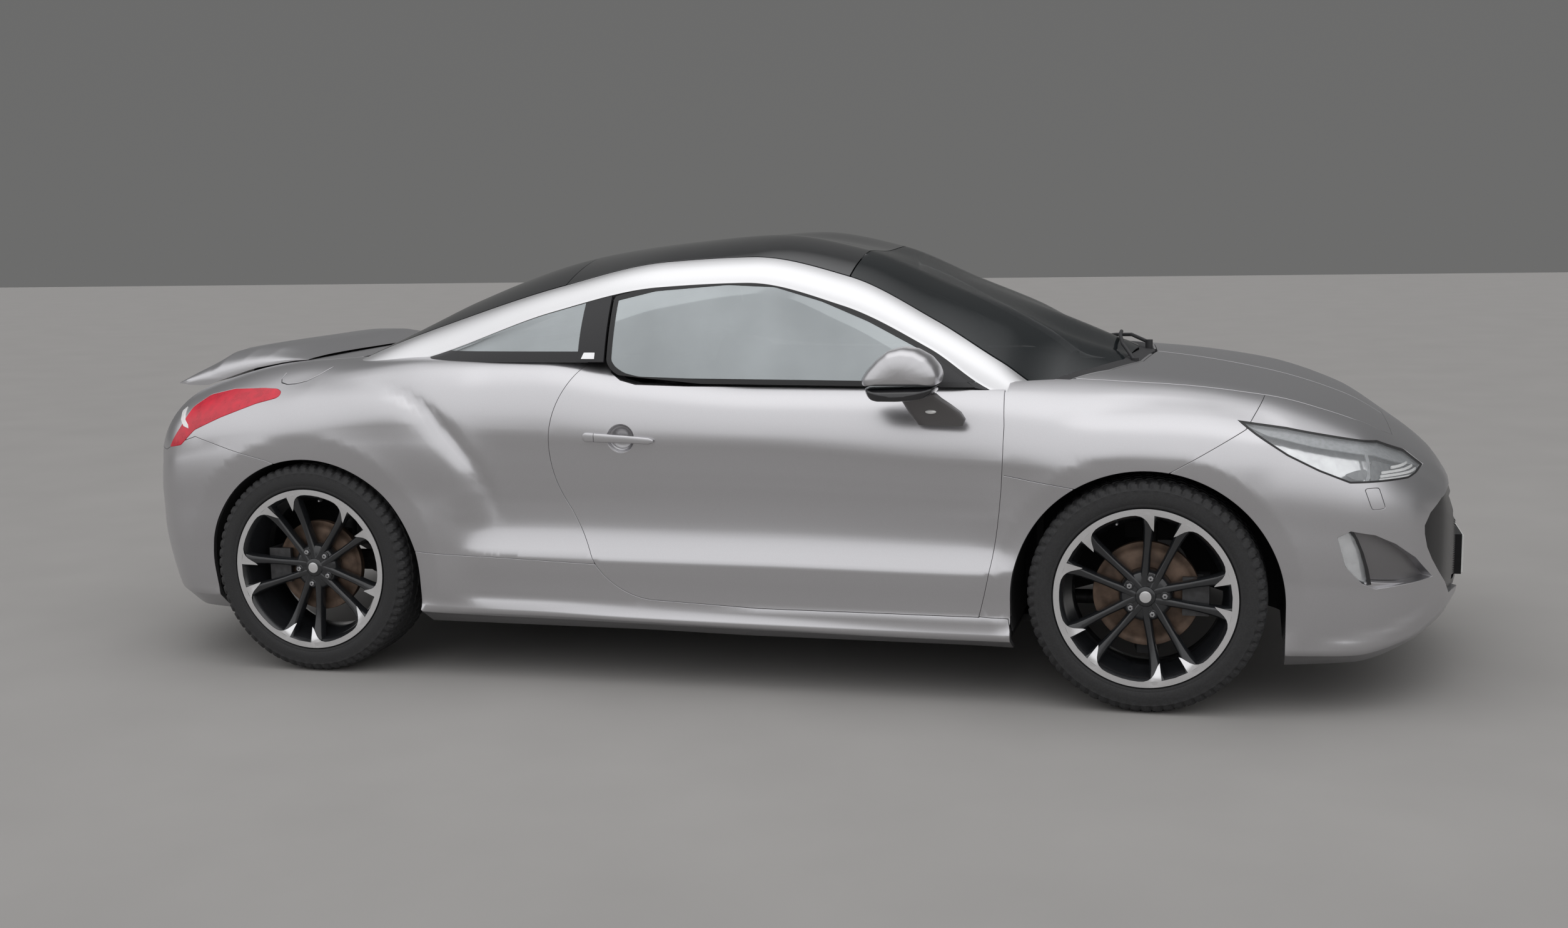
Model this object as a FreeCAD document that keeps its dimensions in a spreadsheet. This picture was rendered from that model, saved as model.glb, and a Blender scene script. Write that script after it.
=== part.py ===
import FreeCAD, Part
import Sketcher
import math
import os
from FreeCAD import Placement, Rotation, Vector

# Two-door coupe car. Millimetres, +X forward, +Y left, +Z up, the ground at Z 0 and the
# middle of the overall length and width at X 0, Y 0.

SIZES = (
    ("wheelbase", 2612, "front axle to rear axle"),
    ("front_overhang", 909.5, "front axle to the nose"),
    ("rear_overhang", 765.5, "rear axle to the tail"),
    ("body_width", 1845, "widest place of the rear haunches"),
    ("roof_height", 1359, "ground to the crests of the roof"),
    ("front_track", 1580, "between the front wheels' middles"),
    ("rear_track", 1593, "between the rear wheels' middles"),
    ("shut_gap", 6, "round doors, bonnet and boot lid"),
    ("shut_taper", 12, "more room at the inner edge of a panel that swings"),
    ("seam", 0.4, "between fixed panels"),
    ("side_wall", 72, "doors and body sides"),
    ("top_wall", 28, "bonnet and boot lid"),
    ("roof_wall", 20, "roof panel"),
    ("arch_wall", 38, "roof arches"),
    ("glass_wall", 5, "all window glass"),
    ("arch_front_radius", 382, "front wheel arch"),
    ("arch_rear_radius", 372, "rear wheel arch"),
    ("front_arch_inner", 500, "inner wall of the front wheel arch from the middle plane"),
    ("rear_arch_inner", 600, "inner wall of the rear wheel arch from the middle plane"),
    ("liner_wall", 10, "wheel arch liners"),
    ("liner_room", 4, "liner outside the arch's edge"),
    ("tyre_radius", 335, "tyre's tread"),
    ("tyre_width", 235, "tyre's sidewalls"),
    ("tread_width", 196, "flat tread"),
    ("shoulder_drop", 16.5, "tread's edge to the flat sidewall"),
    ("bead_width", 206, "tyre's beads on the rim"),
    ("seat_radius", 236, "rim under the beads"),
    ("bead_gap", 0.3, "tyre on its rim"),
    ("flange_radius", 257.5, "rim's outer lip"),
    ("rim_width", 230, "over the lips"),
    ("lip_wall", 10, "thickness of a lip"),
    ("barrel_wall", 10, "thickness of the barrel"),
    ("spoke_root", 52, "where the spokes leave the hub"),
    ("spoke_wide", 25, "a spoke's width"),
    ("spoke_flare", 46, "a spoke's width at the lip"),
    ("spoke_deep", 26, "a spoke's depth"),
    ("spoke_face", 22, "spokes behind the outer lip's face"),
    ("hub_radius", 76, "wheel's hub and disc bell"),
    ("hub_face", 34, "hub behind the outer lip's face"),
    ("front_disc_radius", 151, "front brake disc"),
    ("rear_disc_radius", 145, "rear brake disc"),
    ("disc_wall", 22, "brake disc"),
    ("disc_offset", 18, "disc's inner face outboard of the wheel's middle"),
    ("spindle_radius", 20, "spindle in the hub"),
    ("running_gap", 0.3, "round a spindle or pivot pin"),
    ("brake_gap", 5, "caliper from the disc"),
    ("lower_pivot_y", 760, "steering pivot's lower end from the middle plane"),
    ("lower_pivot_z", 190, "steering pivot's lower end"),
    ("upper_pivot_y", 623.88, "steering pivot's upper end from the middle plane"),
    ("upper_pivot_z", 790, "steering pivot's upper end"),
    ("pivot_pin", 12, "radius of the steering pivot's pins"),
    ("hinge_pin", 7, "tailgate's hinge pins"),
    ("wiper_radius", 6, "wiper arms"),
    ("steering_bar", 14, "steering wheel's rim, half its section"),
    ("exhaust_radius", 24, "exhaust pipe"),
    ("strut_radius", 22, "suspension strut"),
    ("engine_length", 480, "engine and gearbox block, along the car"),
    ("engine_width", 640, "engine and gearbox block, across"),
    ("engine_height", 560, "engine and gearbox block"),
    ("engine_base", 250, "engine's underside above the ground"),
    ("floor_height", 165, "underside of the floor"),
    ("floor_wall", 20, "floor"),
    ("boot_floor_height", 520, "boot floor over the rear axle"),
    ("seat_width", 510, "front seat"),
    ("seat_space", 370, "seat's middle from the middle plane"),
    ("wheel_rim_radius", 182, "steering wheel's ring"),
    ("plate_width", 520, "number plates"),
    ("plate_height", 112, "number plates"),
    ("tow_eye_radius", 9, "threaded towing eye socket in the front beam"),
)

doc = FreeCAD.newDocument("coupe_car")
sheet = doc.addObject("Spreadsheet::Sheet", "Dimensions")
for row, (alias, number, note) in enumerate(SIZES, 1):
    sheet.set(f"A{row}", note)
    sheet.set(f"B{row}", str(number))
    sheet.setAlias(f"B{row}", alias)
doc.recompute()


def size(alias):
    return float(sheet.get(alias))


def value(formula):
    """What a sum such as 'rim_width - 0.5 * lip_wall' comes to with the sheet's sizes."""
    total = 0.0
    sign = 1
    factor = 1.0
    for word in formula.split():
        if word in "+-":
            sign = 1 if word == "+" else -1
            factor = 1.0
        elif word == "*":
            continue
        elif word[0].isdigit() or word[0] == "." or (word[0] == "-" and word[1].isdigit()):
            factor = float(word)
            total += sign * factor
        else:
            if factor != 1.0:
                total -= sign * factor
            total += sign * factor * size(word)
            factor = 1.0
    return total


WHEELBASE = size("wheelbase")
LENGTH = WHEELBASE + size("front_overhang") + size("rear_overhang")
FRONT_AXLE = LENGTH / 2 - size("front_overhang")
REAR_AXLE = FRONT_AXLE - WHEELBASE
AXLE_HEIGHT = size("tyre_radius")
GAP = size("shut_gap")
SEAM = size("seam")
SEAT_GAP = 0.3
SWING_ROOM = 5

# The body's surface is drawn at these sizes, and the sheet's sizes stretch it.
DRAWN_PLACES = (-2143.5, -1378, 1234, 2143.5)
DRAWN_WIDTH = 1845
DRAWN_HEIGHT = 1359
PLACES = (-LENGTH / 2, REAR_AXLE, FRONT_AXLE, LENGTH / 2)


def along(x):
    """Where a drawn place along the car comes to with the sheet's axles and overhangs."""
    k = 1 if x > DRAWN_PLACES[1] else 0
    k = 2 if x > DRAWN_PLACES[2] else k
    share = (x - DRAWN_PLACES[k]) / (DRAWN_PLACES[k + 1] - DRAWN_PLACES[k])
    return PLACES[k] + share * (PLACES[k + 1] - PLACES[k])


def across(y):
    return y * size("body_width") / DRAWN_WIDTH


def up(z):
    return z * size("roof_height") / DRAWN_HEIGHT


# Lower body, half sections from the tail to the nose. Columns: place along the car; height of
# the underside; then y and z of the lower edge, the ledge, the waist, the crease, the shoulder
# and the deck's edge; last the height of the deck at the middle plane.
BODY = (
    (-2143.5, 375, 200, 392, 240, 430, 250, 480, 240, 525, 200, 562, 120, 575, 582),
    (-2105, 300, 400, 320, 455, 390, 465, 480, 455, 570, 410, 640, 300, 668, 680),
    (-2000, 190, 680, 230, 735, 390, 742, 500, 735, 650, 655, 780, 500, 838, 850),
    (-1850, 165, 822, 225, 862, 390, 870, 520, 864, 700, 775, 855, 620, 900, 912),
    (-1600, 165, 872, 225, 902, 400, 914, 560, 906, 740, 800, 905, 650, 962, 974),
    (-1378, 160, 882, 215, 908, 400, 922, 590, 914, 755, 798, 935, 640, 982, 992),
    (-1000, 160, 885, 210, 905, 400, 906, 580, 905, 775, 815, 985, 640, 1003, 1010),
    (-860, 160, 885, 208, 905, 400, 900, 580, 904, 776, 812, 986, 640, 1002, 1008),
    (-745, 160, 885, 206, 902, 400, 866, 580, 892, 770, 806, 986, 640, 1001, 1006),
    (-600, 160, 885, 205, 900, 400, 858, 580, 886, 765, 803, 985, 640, 1000, 1005),
    (-330, 160, 885, 200, 898, 400, 854, 580, 882, 758, 800, 950, 640, 975, 980),
    (100, 155, 885, 195, 898, 400, 853, 580, 880, 750, 800, 918, 640, 940, 945),
    (700, 155, 885, 190, 898, 395, 858, 570, 884, 712, 795, 914, 640, 945, 950),
    (1000, 150, 885, 190, 902, 400, 896, 570, 900, 705, 778, 905, 600, 952, 975),
    (1234, 150, 884, 190, 905, 400, 913, 580, 906, 720, 745, 902, 560, 940, 958),
    (1550, 130, 870, 180, 895, 390, 903, 560, 888, 720, 730, 868, 540, 898, 906),
    (1800, 135, 802, 175, 838, 370, 852, 520, 842, 660, 690, 792, 500, 818, 828),
    (1950, 170, 690, 200, 735, 350, 750, 480, 740, 600, 620, 692, 430, 727, 740),
    (2060, 215, 505, 240, 560, 340, 570, 440, 565, 530, 495, 605, 340, 642, 658),
    (2118, 255, 330, 275, 375, 335, 380, 400, 375, 470, 330, 530, 220, 560, 572),
)
BODY_SPLITS = (1, 1, 2, 2, 3, 2, 3)
BODY_BULGES = (0, 4, 6, 9, 26, 7)
# Between the wheels the side is hollow above and below the waist
SIDE_BULGES = (0, 4, -7, -5, 26, 7)
SIDE_FADE = ((-900, 0.0), (-700, 1.0), (850, 1.0), (1080, 0.0))

# Roof and windows, half sections. Columns: place along the car; then y and z of the belt, the
# window's top, the arch's top and the roof's crest; last the roof's height at the middle plane.
ROOF = (
    (-1345, 780, 900, 740, 925, 650, 960, 300, 985, 985),
    (-1180, 790, 940, 752, 957, 650, 1027, 300, 1068, 1058),
    (-1000, 799, 965, 735, 1000, 640, 1090, 300, 1162, 1150),
    (-600, 800, 970, 700, 1137, 620, 1211, 300, 1291, 1272),
    (-250, 800, 940, 690, 1211, 608, 1284, 300, 1340, 1320),
    (30, 800, 918, 688, 1222, 604, 1296, 300, 1359, 1341),
    (330, 800, 914, 698, 1152, 608, 1234, 300, 1305, 1297),
    (600, 800, 912, 728, 1024, 640, 1102, 300, 1192, 1197),
    (800, 798, 890, 768, 900, 690, 984, 300, 1110, 1122),
    (960, 770, 850, 748, 862, 670, 886, 280, 1030, 1062),
    (1180, 620, 830, 560, 845, 480, 872, 220, 955, 966),
)
ROOF_SPLITS = (3, 3, 3, 2)
ROOF_BULGES = (14, 14, 10, 0)
BELT, WINDOW_TOP, ARCH_TOP, CREST, MIDDLE = range(5)

STATION_STEP = 105


def smooth(table, x):
    """The row of a section table at x, by a smooth curve through each column."""
    last = len(table) - 2
    k = 0
    while k < last and x > table[k + 1][0]:
        k += 1
    x0 = table[k][0]
    x1 = table[k + 1][0]
    wide = x1 - x0
    t = (x - x0) / wide
    row = []
    for c in range(1, len(table[0])):
        rise = (table[k + 1][c] - table[k][c]) / wide
        slopes = []
        for end in (k, k + 1):
            if 0 < end < len(table) - 1:
                before = (table[end][c] - table[end - 1][c]) / (table[end][0] - table[end - 1][0])
                after = (table[end + 1][c] - table[end][c]) / (table[end + 1][0] - table[end][0])
                flat = before * after <= 0
                slopes.append(0 if flat else 2 * before * after / (before + after))
            else:
                slopes.append(rise)
        a = table[k][c]
        b = table[k + 1][c]
        row.append(
            a * (1 + 2 * t) * (1 - t) ** 2
            + b * t * t * (3 - 2 * t)
            + wide * t * (1 - t) * ((1 - t) * slopes[0] - t * slopes[1])
        )
    return row


def bowed(a, b, bulge, count):
    """Points from a up to but not including b, bowed outwards by bulge."""
    dy = b[0] - a[0]
    dz = b[1] - a[1]
    reach = math.hypot(dy, dz) or 1.0
    out = []
    for n in range(count):
        t = n / count
        bow = 4 * t * (1 - t) * bulge * min(1.0, reach / 120)
        out.append((a[0] + t * dy + bow * dz / reach, a[1] + t * dz - bow * dy / reach))
    return out


def side_share(x):
    """How far a place has the hollow side of the doors: 0 to 1."""
    for (x0, a), (x1, b) in zip(SIDE_FADE, SIDE_FADE[1:]):
        if x0 <= x <= x1:
            return a + (b - a) * (x - x0) / (x1 - x0)
    return 0.0


def body_section(x):
    """Half section of the lower body at a drawn place, from the underside up to the middle."""
    row = smooth(BODY, x)
    share = side_share(x)
    bulges = [a + (b - a) * share for a, b in zip(BODY_BULGES, SIDE_BULGES)]
    low, edge_y = row[0], row[1]
    keys = [(edge_y * 0.9, low)]
    keys += [(row[n], row[n + 1]) for n in range(1, 13, 2)]
    points = []
    for a, b, bulge, count in zip(keys, keys[1:], bulges, BODY_SPLITS):
        points += bowed(a, b, bulge, count)
    deck_y, deck_z = keys[-1]
    count = BODY_SPLITS[-1]
    for n in range(count + 1):
        t = n / count
        points.append((deck_y * (1 - t), deck_z + (row[-1] - deck_z) * (1 - (1 - t) ** 2)))
    return [(across(y), up(z)) for y, z in points]


BODY_FIRSTS = [sum(BODY_SPLITS[:n]) for n in range(len(BODY_SPLITS) + 1)]
SILL_EDGE, LEDGE, WAIST, CREASE, SHOULDER, DECK, DECK_MIDDLE = BODY_FIRSTS[1:]


def roof_section(x):
    """Half section of the roof and windows at a drawn place, from the belt to the middle."""
    row = smooth(ROOF, x)
    keys = [(row[n], row[n + 1]) for n in range(0, 8, 2)]
    points = []
    for a, b, bulge, count in zip(keys, keys[1:], ROOF_BULGES, ROOF_SPLITS):
        points += bowed(a, b, bulge, count)
    crest_y, crest_z = keys[-1]
    count = ROOF_SPLITS[-1]
    for n in range(count + 1):
        t = n / count
        points.append((crest_y * (1 - t), crest_z + (row[-1] - crest_z) * t * t * (3 - 2 * t)))
    return [(across(y), up(z)) for y, z in points]


ROOF_FIRSTS = [sum(ROOF_SPLITS[:n]) for n in range(len(ROOF_SPLITS) + 1)]


def inset(points, depths):
    """A half section moved inwards by a depth for each point."""
    out = []
    for n, (y, z) in enumerate(points):
        before = points[max(n - 1, 0)]
        after = points[min(n + 1, len(points) - 1)]
        dy = after[0] - before[0]
        dz = after[1] - before[1]
        if n == len(points) - 1 and y == 0:
            dy, dz = -1.0, 0.0
        reach = math.hypot(dy, dz) or 1.0
        out.append((y - depths[n] * dz / reach, z + depths[n] * dy / reach))
    return out


def body_depths(points):
    """Wall of the lower body for each point of a half section."""
    side = min(size("side_wall"), 0.3 * points[LEDGE][0])
    top = size("top_wall")
    out = []
    for n in range(len(points)):
        if n <= CREASE:
            out.append(side if n else top)
        elif n < DECK:
            out.append(side + (top - side) * (n - CREASE) / (DECK - CREASE))
        else:
            out.append(top)
    return out


def stations(start, end):
    count = max(1, round((end - start) / STATION_STEP))
    return [start + (end - start) * n / count for n in range(count + 1)]


def both_sides(points):
    """A half section that ends on the middle plane, carried over to the other side."""
    return [(y, z) for y, z in points] + [(-y, z) for y, z in reversed(points[:-1])]


def solid_between(places, outer, inner):
    """Closed solid between two skins, each a row of section points at each place."""
    wide = len(outer[0])
    tall = len(places)
    points = [Vector(along(x), y, z) for x, row in zip(places, outer) for y, z in row]
    points += [Vector(along(x), y, z) for x, row in zip(places, inner) for y, z in row]
    faces = []

    def quad(a, b, c, d):
        faces.append((a, b, c))
        faces.append((a, c, d))

    def at(skin, i, j):
        return skin * wide * tall + i * wide + j

    for i in range(tall - 1):
        for j in range(wide - 1):
            quad(at(0, i, j), at(0, i + 1, j), at(0, i + 1, j + 1), at(0, i, j + 1))
            quad(at(1, i, j + 1), at(1, i + 1, j + 1), at(1, i + 1, j), at(1, i, j))
        quad(at(1, i, 0), at(1, i + 1, 0), at(0, i + 1, 0), at(0, i, 0))
        j = wide - 1
        quad(at(0, i, j), at(0, i + 1, j), at(1, i + 1, j), at(1, i, j))
    for j in range(wide - 1):
        quad(at(0, 0, j), at(0, 0, j + 1), at(1, 0, j + 1), at(1, 0, j))
        i = tall - 1
        quad(at(1, i, j), at(1, i, j + 1), at(0, i, j + 1), at(0, i, j))
    shell = Part.Shape()
    shell.makeShapeFromMesh((points, faces), 0.01)
    shape = Part.Solid(Part.Shell(shell.Faces))
    if shape.Volume < 0:
        shape.reverse()
    return shape.removeSplitter()


def body_slab(start, end, first=0, last=DECK_MIDDLE, whole=False, sink=0.0):
    """The lower body's wall between two places and two points of its half section."""
    places = stations(start, end)
    outer = []
    inner = []
    for x in places:
        points = body_section(x)
        inside = inset(points, body_depths(points))
        if sink:
            points = inset(points, [sink] * len(points))
        if whole:
            outer.append(both_sides(points))
            inner.append(both_sides(inside))
        else:
            outer.append([(-y, z) for y, z in points[first : last + 1]])
            inner.append([(-y, z) for y, z in inside[first : last + 1]])
    return solid_between(places, outer, inner)


def body_core(start, end, inside=False):
    """Everything under the lower body's skin, or inside its walls, between two places."""
    places = stations(start, end)
    outer = []
    inner = []
    for x in places:
        points = body_section(x)
        if inside:
            points = inset(points, [depth + SEAM for depth in body_depths(points)])
            points.insert(0, (points[0][0], points[0][1] - 2 * size("top_wall")))
        row = both_sides(points)
        outer.append(row)
        inner.append([(0.02 * y, points[0][1] + 0.02 * (z - points[0][1])) for y, z in row])
    return solid_between(places, outer, inner)


def pulled_in(points, seam):
    """A section whose first point is moved along it by the seam."""
    (ay, az), (by, bz) = points[0], points[1]
    part = seam / math.hypot(by - ay, bz - az)
    return [(ay + (by - ay) * part, az + (bz - az) * part)] + list(points[1:])


def roof_slab(start, end, first, last, wall, sink=0.0, whole=False, seam=0.0):
    """A piece of the roof's or windows' wall between two places and two key points."""
    places = stations(start, end)
    outer = []
    inner = []
    for x in places:
        points = roof_section(x)
        top = inset(points, [sink] * len(points))
        bottom = inset(points, [sink + wall] * len(points))
        a = ROOF_FIRSTS[first]
        b = ROOF_FIRSTS[last] + 1
        if whole:
            outer.append(both_sides(pulled_in(top[a:], seam)))
            inner.append(both_sides(pulled_in(bottom[a:], seam)))
        else:
            outer.append([(-y, z) for y, z in top[a:b]])
            inner.append([(-y, z) for y, z in bottom[a:b]])
    return solid_between(places, outer, inner)


# Side outlines, drawn x and z. A third number marks the middle of an arc.
DOOR = (
    (828, 914), (-130, 922), (-314, 931), (-395, 975), (-410, 996), (-449, 998),
    (-556, 768, 1), (-495, 542), (-412, 376), (-350, 312, 1), (-237, 270),
    (100, 256), (764, 256), (816, 510, 1), (836, 817),
)
SILL = (
    (-1300, 60), (880, 60), (846, 256), (0, 300), (-404, 380), (-767, 393), (-1100, 402),
    (-1300, 402),
)
HEADLAMP = (
    (1479, 833), (1610, 814), (1858, 762), (1939, 722), (1993, 678), (1941, 664),
    (1779, 667), (1696, 701), (1612, 743), (1527, 798),
)
TAIL_LAMP = (
    (-1900, 712), (-1851, 778), (-1820, 842), (-1772, 878), (-1680, 898), (-1520, 903),
    (-1478, 883), (-1555, 862), (-1686, 815), (-1786, 773), (-1842, 722),
)
FOG_RECESS = (
    (1747, 519), (1783, 536), (1850, 522), (1907, 492), (1965, 445), (2020, 374),
    (1855, 365), (1817, 384), (1771, 435),
)
FRONT_BUMPER = (
    (1240, 40), (1240, 655), (1296, 692), (1501, 811), (1560, 900), (2300, 900), (2300, 40),
)
REAR_BUMPER = (
    (-1400, 40), (-1400, 640), (-1513, 683), (-1780, 752), (-1874, 722), (-1930, 700),
    (-2300, 700), (-2300, 40),
)
DOOR_WINDOW = (
    (818, 917), (-130, 925), (-312, 934), (-393, 979), (-393, 1185), (-261, 1215),
    (-30, 1232), (122, 1224), (270, 1180), (417, 1120), (611, 1022), (745, 930),
)
QUARTER_WINDOW = (
    (-1037, 988), (-452, 988), (-452, 1190), (-580, 1160), (-800, 1090),
)
BONNET_PLAN = (
    (1215, 0), (1190, -330), (1110, -560), (1010, -690), (1300, -672), (1500, -655),
    (1700, -625), (1800, -590), (1880, -520), (1940, -400), (1990, -250), (2000, 0),
)
COWL_PLAN = (
    (1160, 0), (1132, -330), (1050, -560), (960, -697), (1003, -697), (1104, -564),
    (1184, -334), (1209, 0),
)
REAR_GLASS_PLAN = (
    (-592, 0), (-592, -606), (-1000, -627), (-1180, -632), (-1262, -612), (-1312, -600),
    (-1345, -600), (-1345, 0),
)
BOOT_PLAN = (
    (-1312, -606), (-1700, -604), (-1850, -590), (-2300, -560),
)
NOSE_EDGE = 1890
NOSE_LEAN = 0.45
LID_BOTTOM = 700
FAR = 3000


def moved_in(points, margin):
    """Closed ring of plane points moved inwards by margin."""
    count = len(points)
    area = 0.0
    for n in range(count):
        a = points[n]
        b = points[(n + 1) % count]
        area += a[0] * b[1] - b[0] * a[1]
    turn = 1 if area > 0 else -1
    moved = []
    for n in range(count):
        a = points[n - 1]
        b = points[n]
        c = points[(n + 1) % count]
        u = Vector(b[0] - a[0], b[1] - a[1], 0).normalize()
        v = Vector(c[0] - b[0], c[1] - b[1], 0).normalize()
        both = Vector(-u.y - v.y, u.x + v.x, 0) * turn
        both = both * (2 * margin / max(both.Length ** 2, 0.5))
        moved.append((b[0] + both.x, b[1] + both.y))
    return moved


def wire_of(outline, depth_y, margin=0.0):
    """Closed outline in the side view, moved inwards by margin."""
    places = moved_in([(along(p[0]), up(p[1])) for p in outline], margin)
    moved = [Vector(x, depth_y, z) for x, z in places]
    count = len(moved)
    edges = []
    n = 0
    while n < count:
        after = (n + 1) % count
        if len(outline[after]) == 3:
            end = (n + 2) % count
            edges.append(Part.Arc(moved[n], moved[after], moved[end]).toShape())
            n += 2
        else:
            edges.append(Part.LineSegment(moved[n], moved[after]).toShape())
            n += 1
    return Part.Wire(edges)


def side_prism(outline, inner_y, outer_y, margin=0.0, taper=0.0):
    """Outline run across the car, smaller at its inner end by taper."""
    outer = wire_of(outline, outer_y, margin)
    if not taper:
        return Part.Face(outer).extrude(Vector(0, inner_y - outer_y, 0))
    return Part.makeLoft([outer, wire_of(outline, inner_y, margin + taper)], True, True)


def plan_prism(outline, margin=0.0, low=0.0, high=FAR):
    """Half outline in plan with its mirror image, smaller all round by margin, run upwards."""
    points = [(along(x), across(y)) for x, y in outline]
    ring = points + [(x, -y) for x, y in reversed(points) if y]
    corners = [Vector(x, y, low) for x, y in moved_in(ring, margin)]
    return Part.Face(Part.makePolygon(corners + corners[:1])).extrude(Vector(0, 0, high - low))


def profile_prism(points, wide=FAR):
    """Side view polygon, already in place, run across the whole car."""
    corners = [Vector(x, -wide / 2, z) for x, z in points]
    return Part.Face(Part.makePolygon(corners + corners[:1])).extrude(Vector(0, wide, 0))


def feature(name, shape):
    item = doc.addObject("Part::Feature", name)
    item.Shape = shape
    return item


def common(name, *parts):
    item = doc.addObject("Part::MultiCommon", name)
    item.Shapes = list(parts)
    return item


def cut(name, base, *tools):
    item = doc.addObject("Part::Cut", name)
    item.Base = base
    if len(tools) == 1:
        item.Tool = tools[0]
    else:
        pack = doc.addObject("Part::MultiFuse", name + "_tools")
        pack.Shapes = list(tools)
        item.Tool = pack
    return item


def fuse(name, *parts):
    item = doc.addObject("Part::MultiFuse", name)
    item.Shapes = list(parts)
    item.Refine = True
    return item


def group(name, *parts):
    """Like pieces of one body that don't touch, kept as one sub-part."""
    item = doc.addObject("Part::Compound", name)
    item.Links = list(parts)
    return item


def mirror(name, source):
    item = doc.addObject("Part::Mirroring", name)
    item.Source = source
    item.Normal = Vector(0, 1, 0)
    return item


def bind(item, **formulas):
    for key, formula in formulas.items():
        words = [w if w in "+-*" or w[-1].isdigit() else "Dimensions." + w for w in formula.split()]
        item.setExpression(key.replace("_", "."), " ".join(words))


def block(name, length, width, height, place):
    """Box whose sides follow the sheet, its lowest corner at place."""
    item = doc.addObject("Part::Box", name)
    bind(item, Length=length, Width=width, Height=height)
    item.Placement = Placement(Vector(*place), Rotation())
    return item


def slab(name, low, high):
    """Box from one corner to the other."""
    item = doc.addObject("Part::Box", name)
    item.Length = high[0] - low[0]
    item.Width = high[1] - low[1]
    item.Height = high[2] - low[2]
    item.Placement = Placement(Vector(*low), Rotation())
    return item


def rod(name, start, end, radius):
    """Round bar from one point to another, its radius a sum of the sheet's sizes."""
    a = Vector(*start)
    b = Vector(*end)
    item = doc.addObject("Part::Cylinder", name)
    bind(item, Radius=radius)
    item.Height = (b - a).Length
    item.Placement = Placement(a, Rotation(Vector(0, 0, 1), b - a))
    return item


NODES = {}


def keep(name, item):
    """Marks an object as the finished sub-part of that name."""
    item.Label = name
    NODES[name] = item
    return item


def keep_pair(name, item):
    """Keeps a right-hand sub-part and its mirror image."""
    keep(name + "_right", item)
    keep(name + "_left", mirror(name + "_mirrored", item))


def keep_both(name, item):
    """Keeps a right-hand piece and its mirror image as one sub-part."""
    keep(name, group(name, item, mirror(name + "_left", item)))


# Wheel arches

ARCH_LOW = 40


def arch_prism(centre, radius, inner_y, outer_y):
    """Round arch that is open downwards."""
    points = [
        Vector(centre - radius, outer_y, ARCH_LOW),
        Vector(centre - radius, outer_y, AXLE_HEIGHT - 20),
        Vector(centre, outer_y, AXLE_HEIGHT - 20 + radius),
        Vector(centre + radius, outer_y, AXLE_HEIGHT - 20),
        Vector(centre + radius, outer_y, ARCH_LOW),
    ]
    edges = [
        Part.LineSegment(points[0], points[1]).toShape(),
        Part.Arc(points[1], points[2], points[3]).toShape(),
        Part.LineSegment(points[3], points[4]).toShape(),
        Part.LineSegment(points[4], points[0]).toShape(),
    ]
    return Part.Face(Part.Wire(edges)).extrude(Vector(0, inner_y - outer_y, 0))


OUTSIDE_Y = -across(1100)
arches = feature(
    "arches",
    Part.makeCompound(
        [
            arch_prism(FRONT_AXLE, size("arch_front_radius"), -size("front_arch_inner"), OUTSIDE_Y),
            arch_prism(REAR_AXLE, size("arch_rear_radius"), -size("rear_arch_inner"), OUTSIDE_Y),
        ]
    ),
)
arches_left = mirror("arches_left", arches)

# Doors

DOOR_INNER_Y = -across(760)
DOOR_OUTER_Y = -across(960)
door_hole = feature("door_hole", side_prism(DOOR, -across(700), OUTSIDE_Y))
door_wall = feature("door_wall", body_slab(-620, 900, SILL_EDGE - 1, SHOULDER + 1))
door_form = feature(
    "door_form",
    side_prism(DOOR, DOOR_INNER_Y, DOOR_OUTER_Y, GAP, size("shut_taper")),
)
door_side = slab(
    "door_side",
    (along(-700), DOOR_OUTER_Y, 0),
    (along(1000), -across(735), up(1100)),
)
door = common("door", door_wall, door_form, door_side)
handle_cup = doc.addObject("Part::Cylinder", "handle_cup")
handle_cup.Radius = up(40)
handle_cup.Height = 60
handle_cup.Placement = Placement(Vector(along(-322), -across(868), up(766)), Rotation(Vector(1, 0, 0), 90))
door_panel = cut("door_panel", door, handle_cup)
handle = slab(
    "handle",
    (along(-440), -across(905), up(757)),
    (along(-215), -across(889), up(781)),
)
handle_foot_front = slab(
    "handle_foot_front", (along(-262), -across(892), up(760)), (along(-232), -across(865), up(778))
)
handle_foot_rear = slab(
    "handle_foot_rear", (along(-432), -across(892), up(760)), (along(-402), -across(865), up(778))
)
handle_bar = fuse("handle_bar", handle, handle_foot_front, handle_foot_rear)
keep_pair("door_panel", fuse("door_whole", door_panel, handle_bar))

# Side windows

SIDE_GLASS_END = -1060
side_glass = feature(
    "side_glass", roof_slab(SIDE_GLASS_END, 830, BELT, WINDOW_TOP, size("glass_wall"), 1.0)
)
door_window = feature("door_window", side_prism(DOOR_WINDOW, -across(600), DOOR_OUTER_Y, GAP - 3))
quarter_window = feature("quarter_window", side_prism(QUARTER_WINDOW, -across(600), DOOR_OUTER_Y))
pillar_wall = feature("pillar_wall", roof_slab(-452, -400, BELT, WINDOW_TOP, 30, 1.0))

# Roof arches, roof, windscreen and rear window

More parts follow.
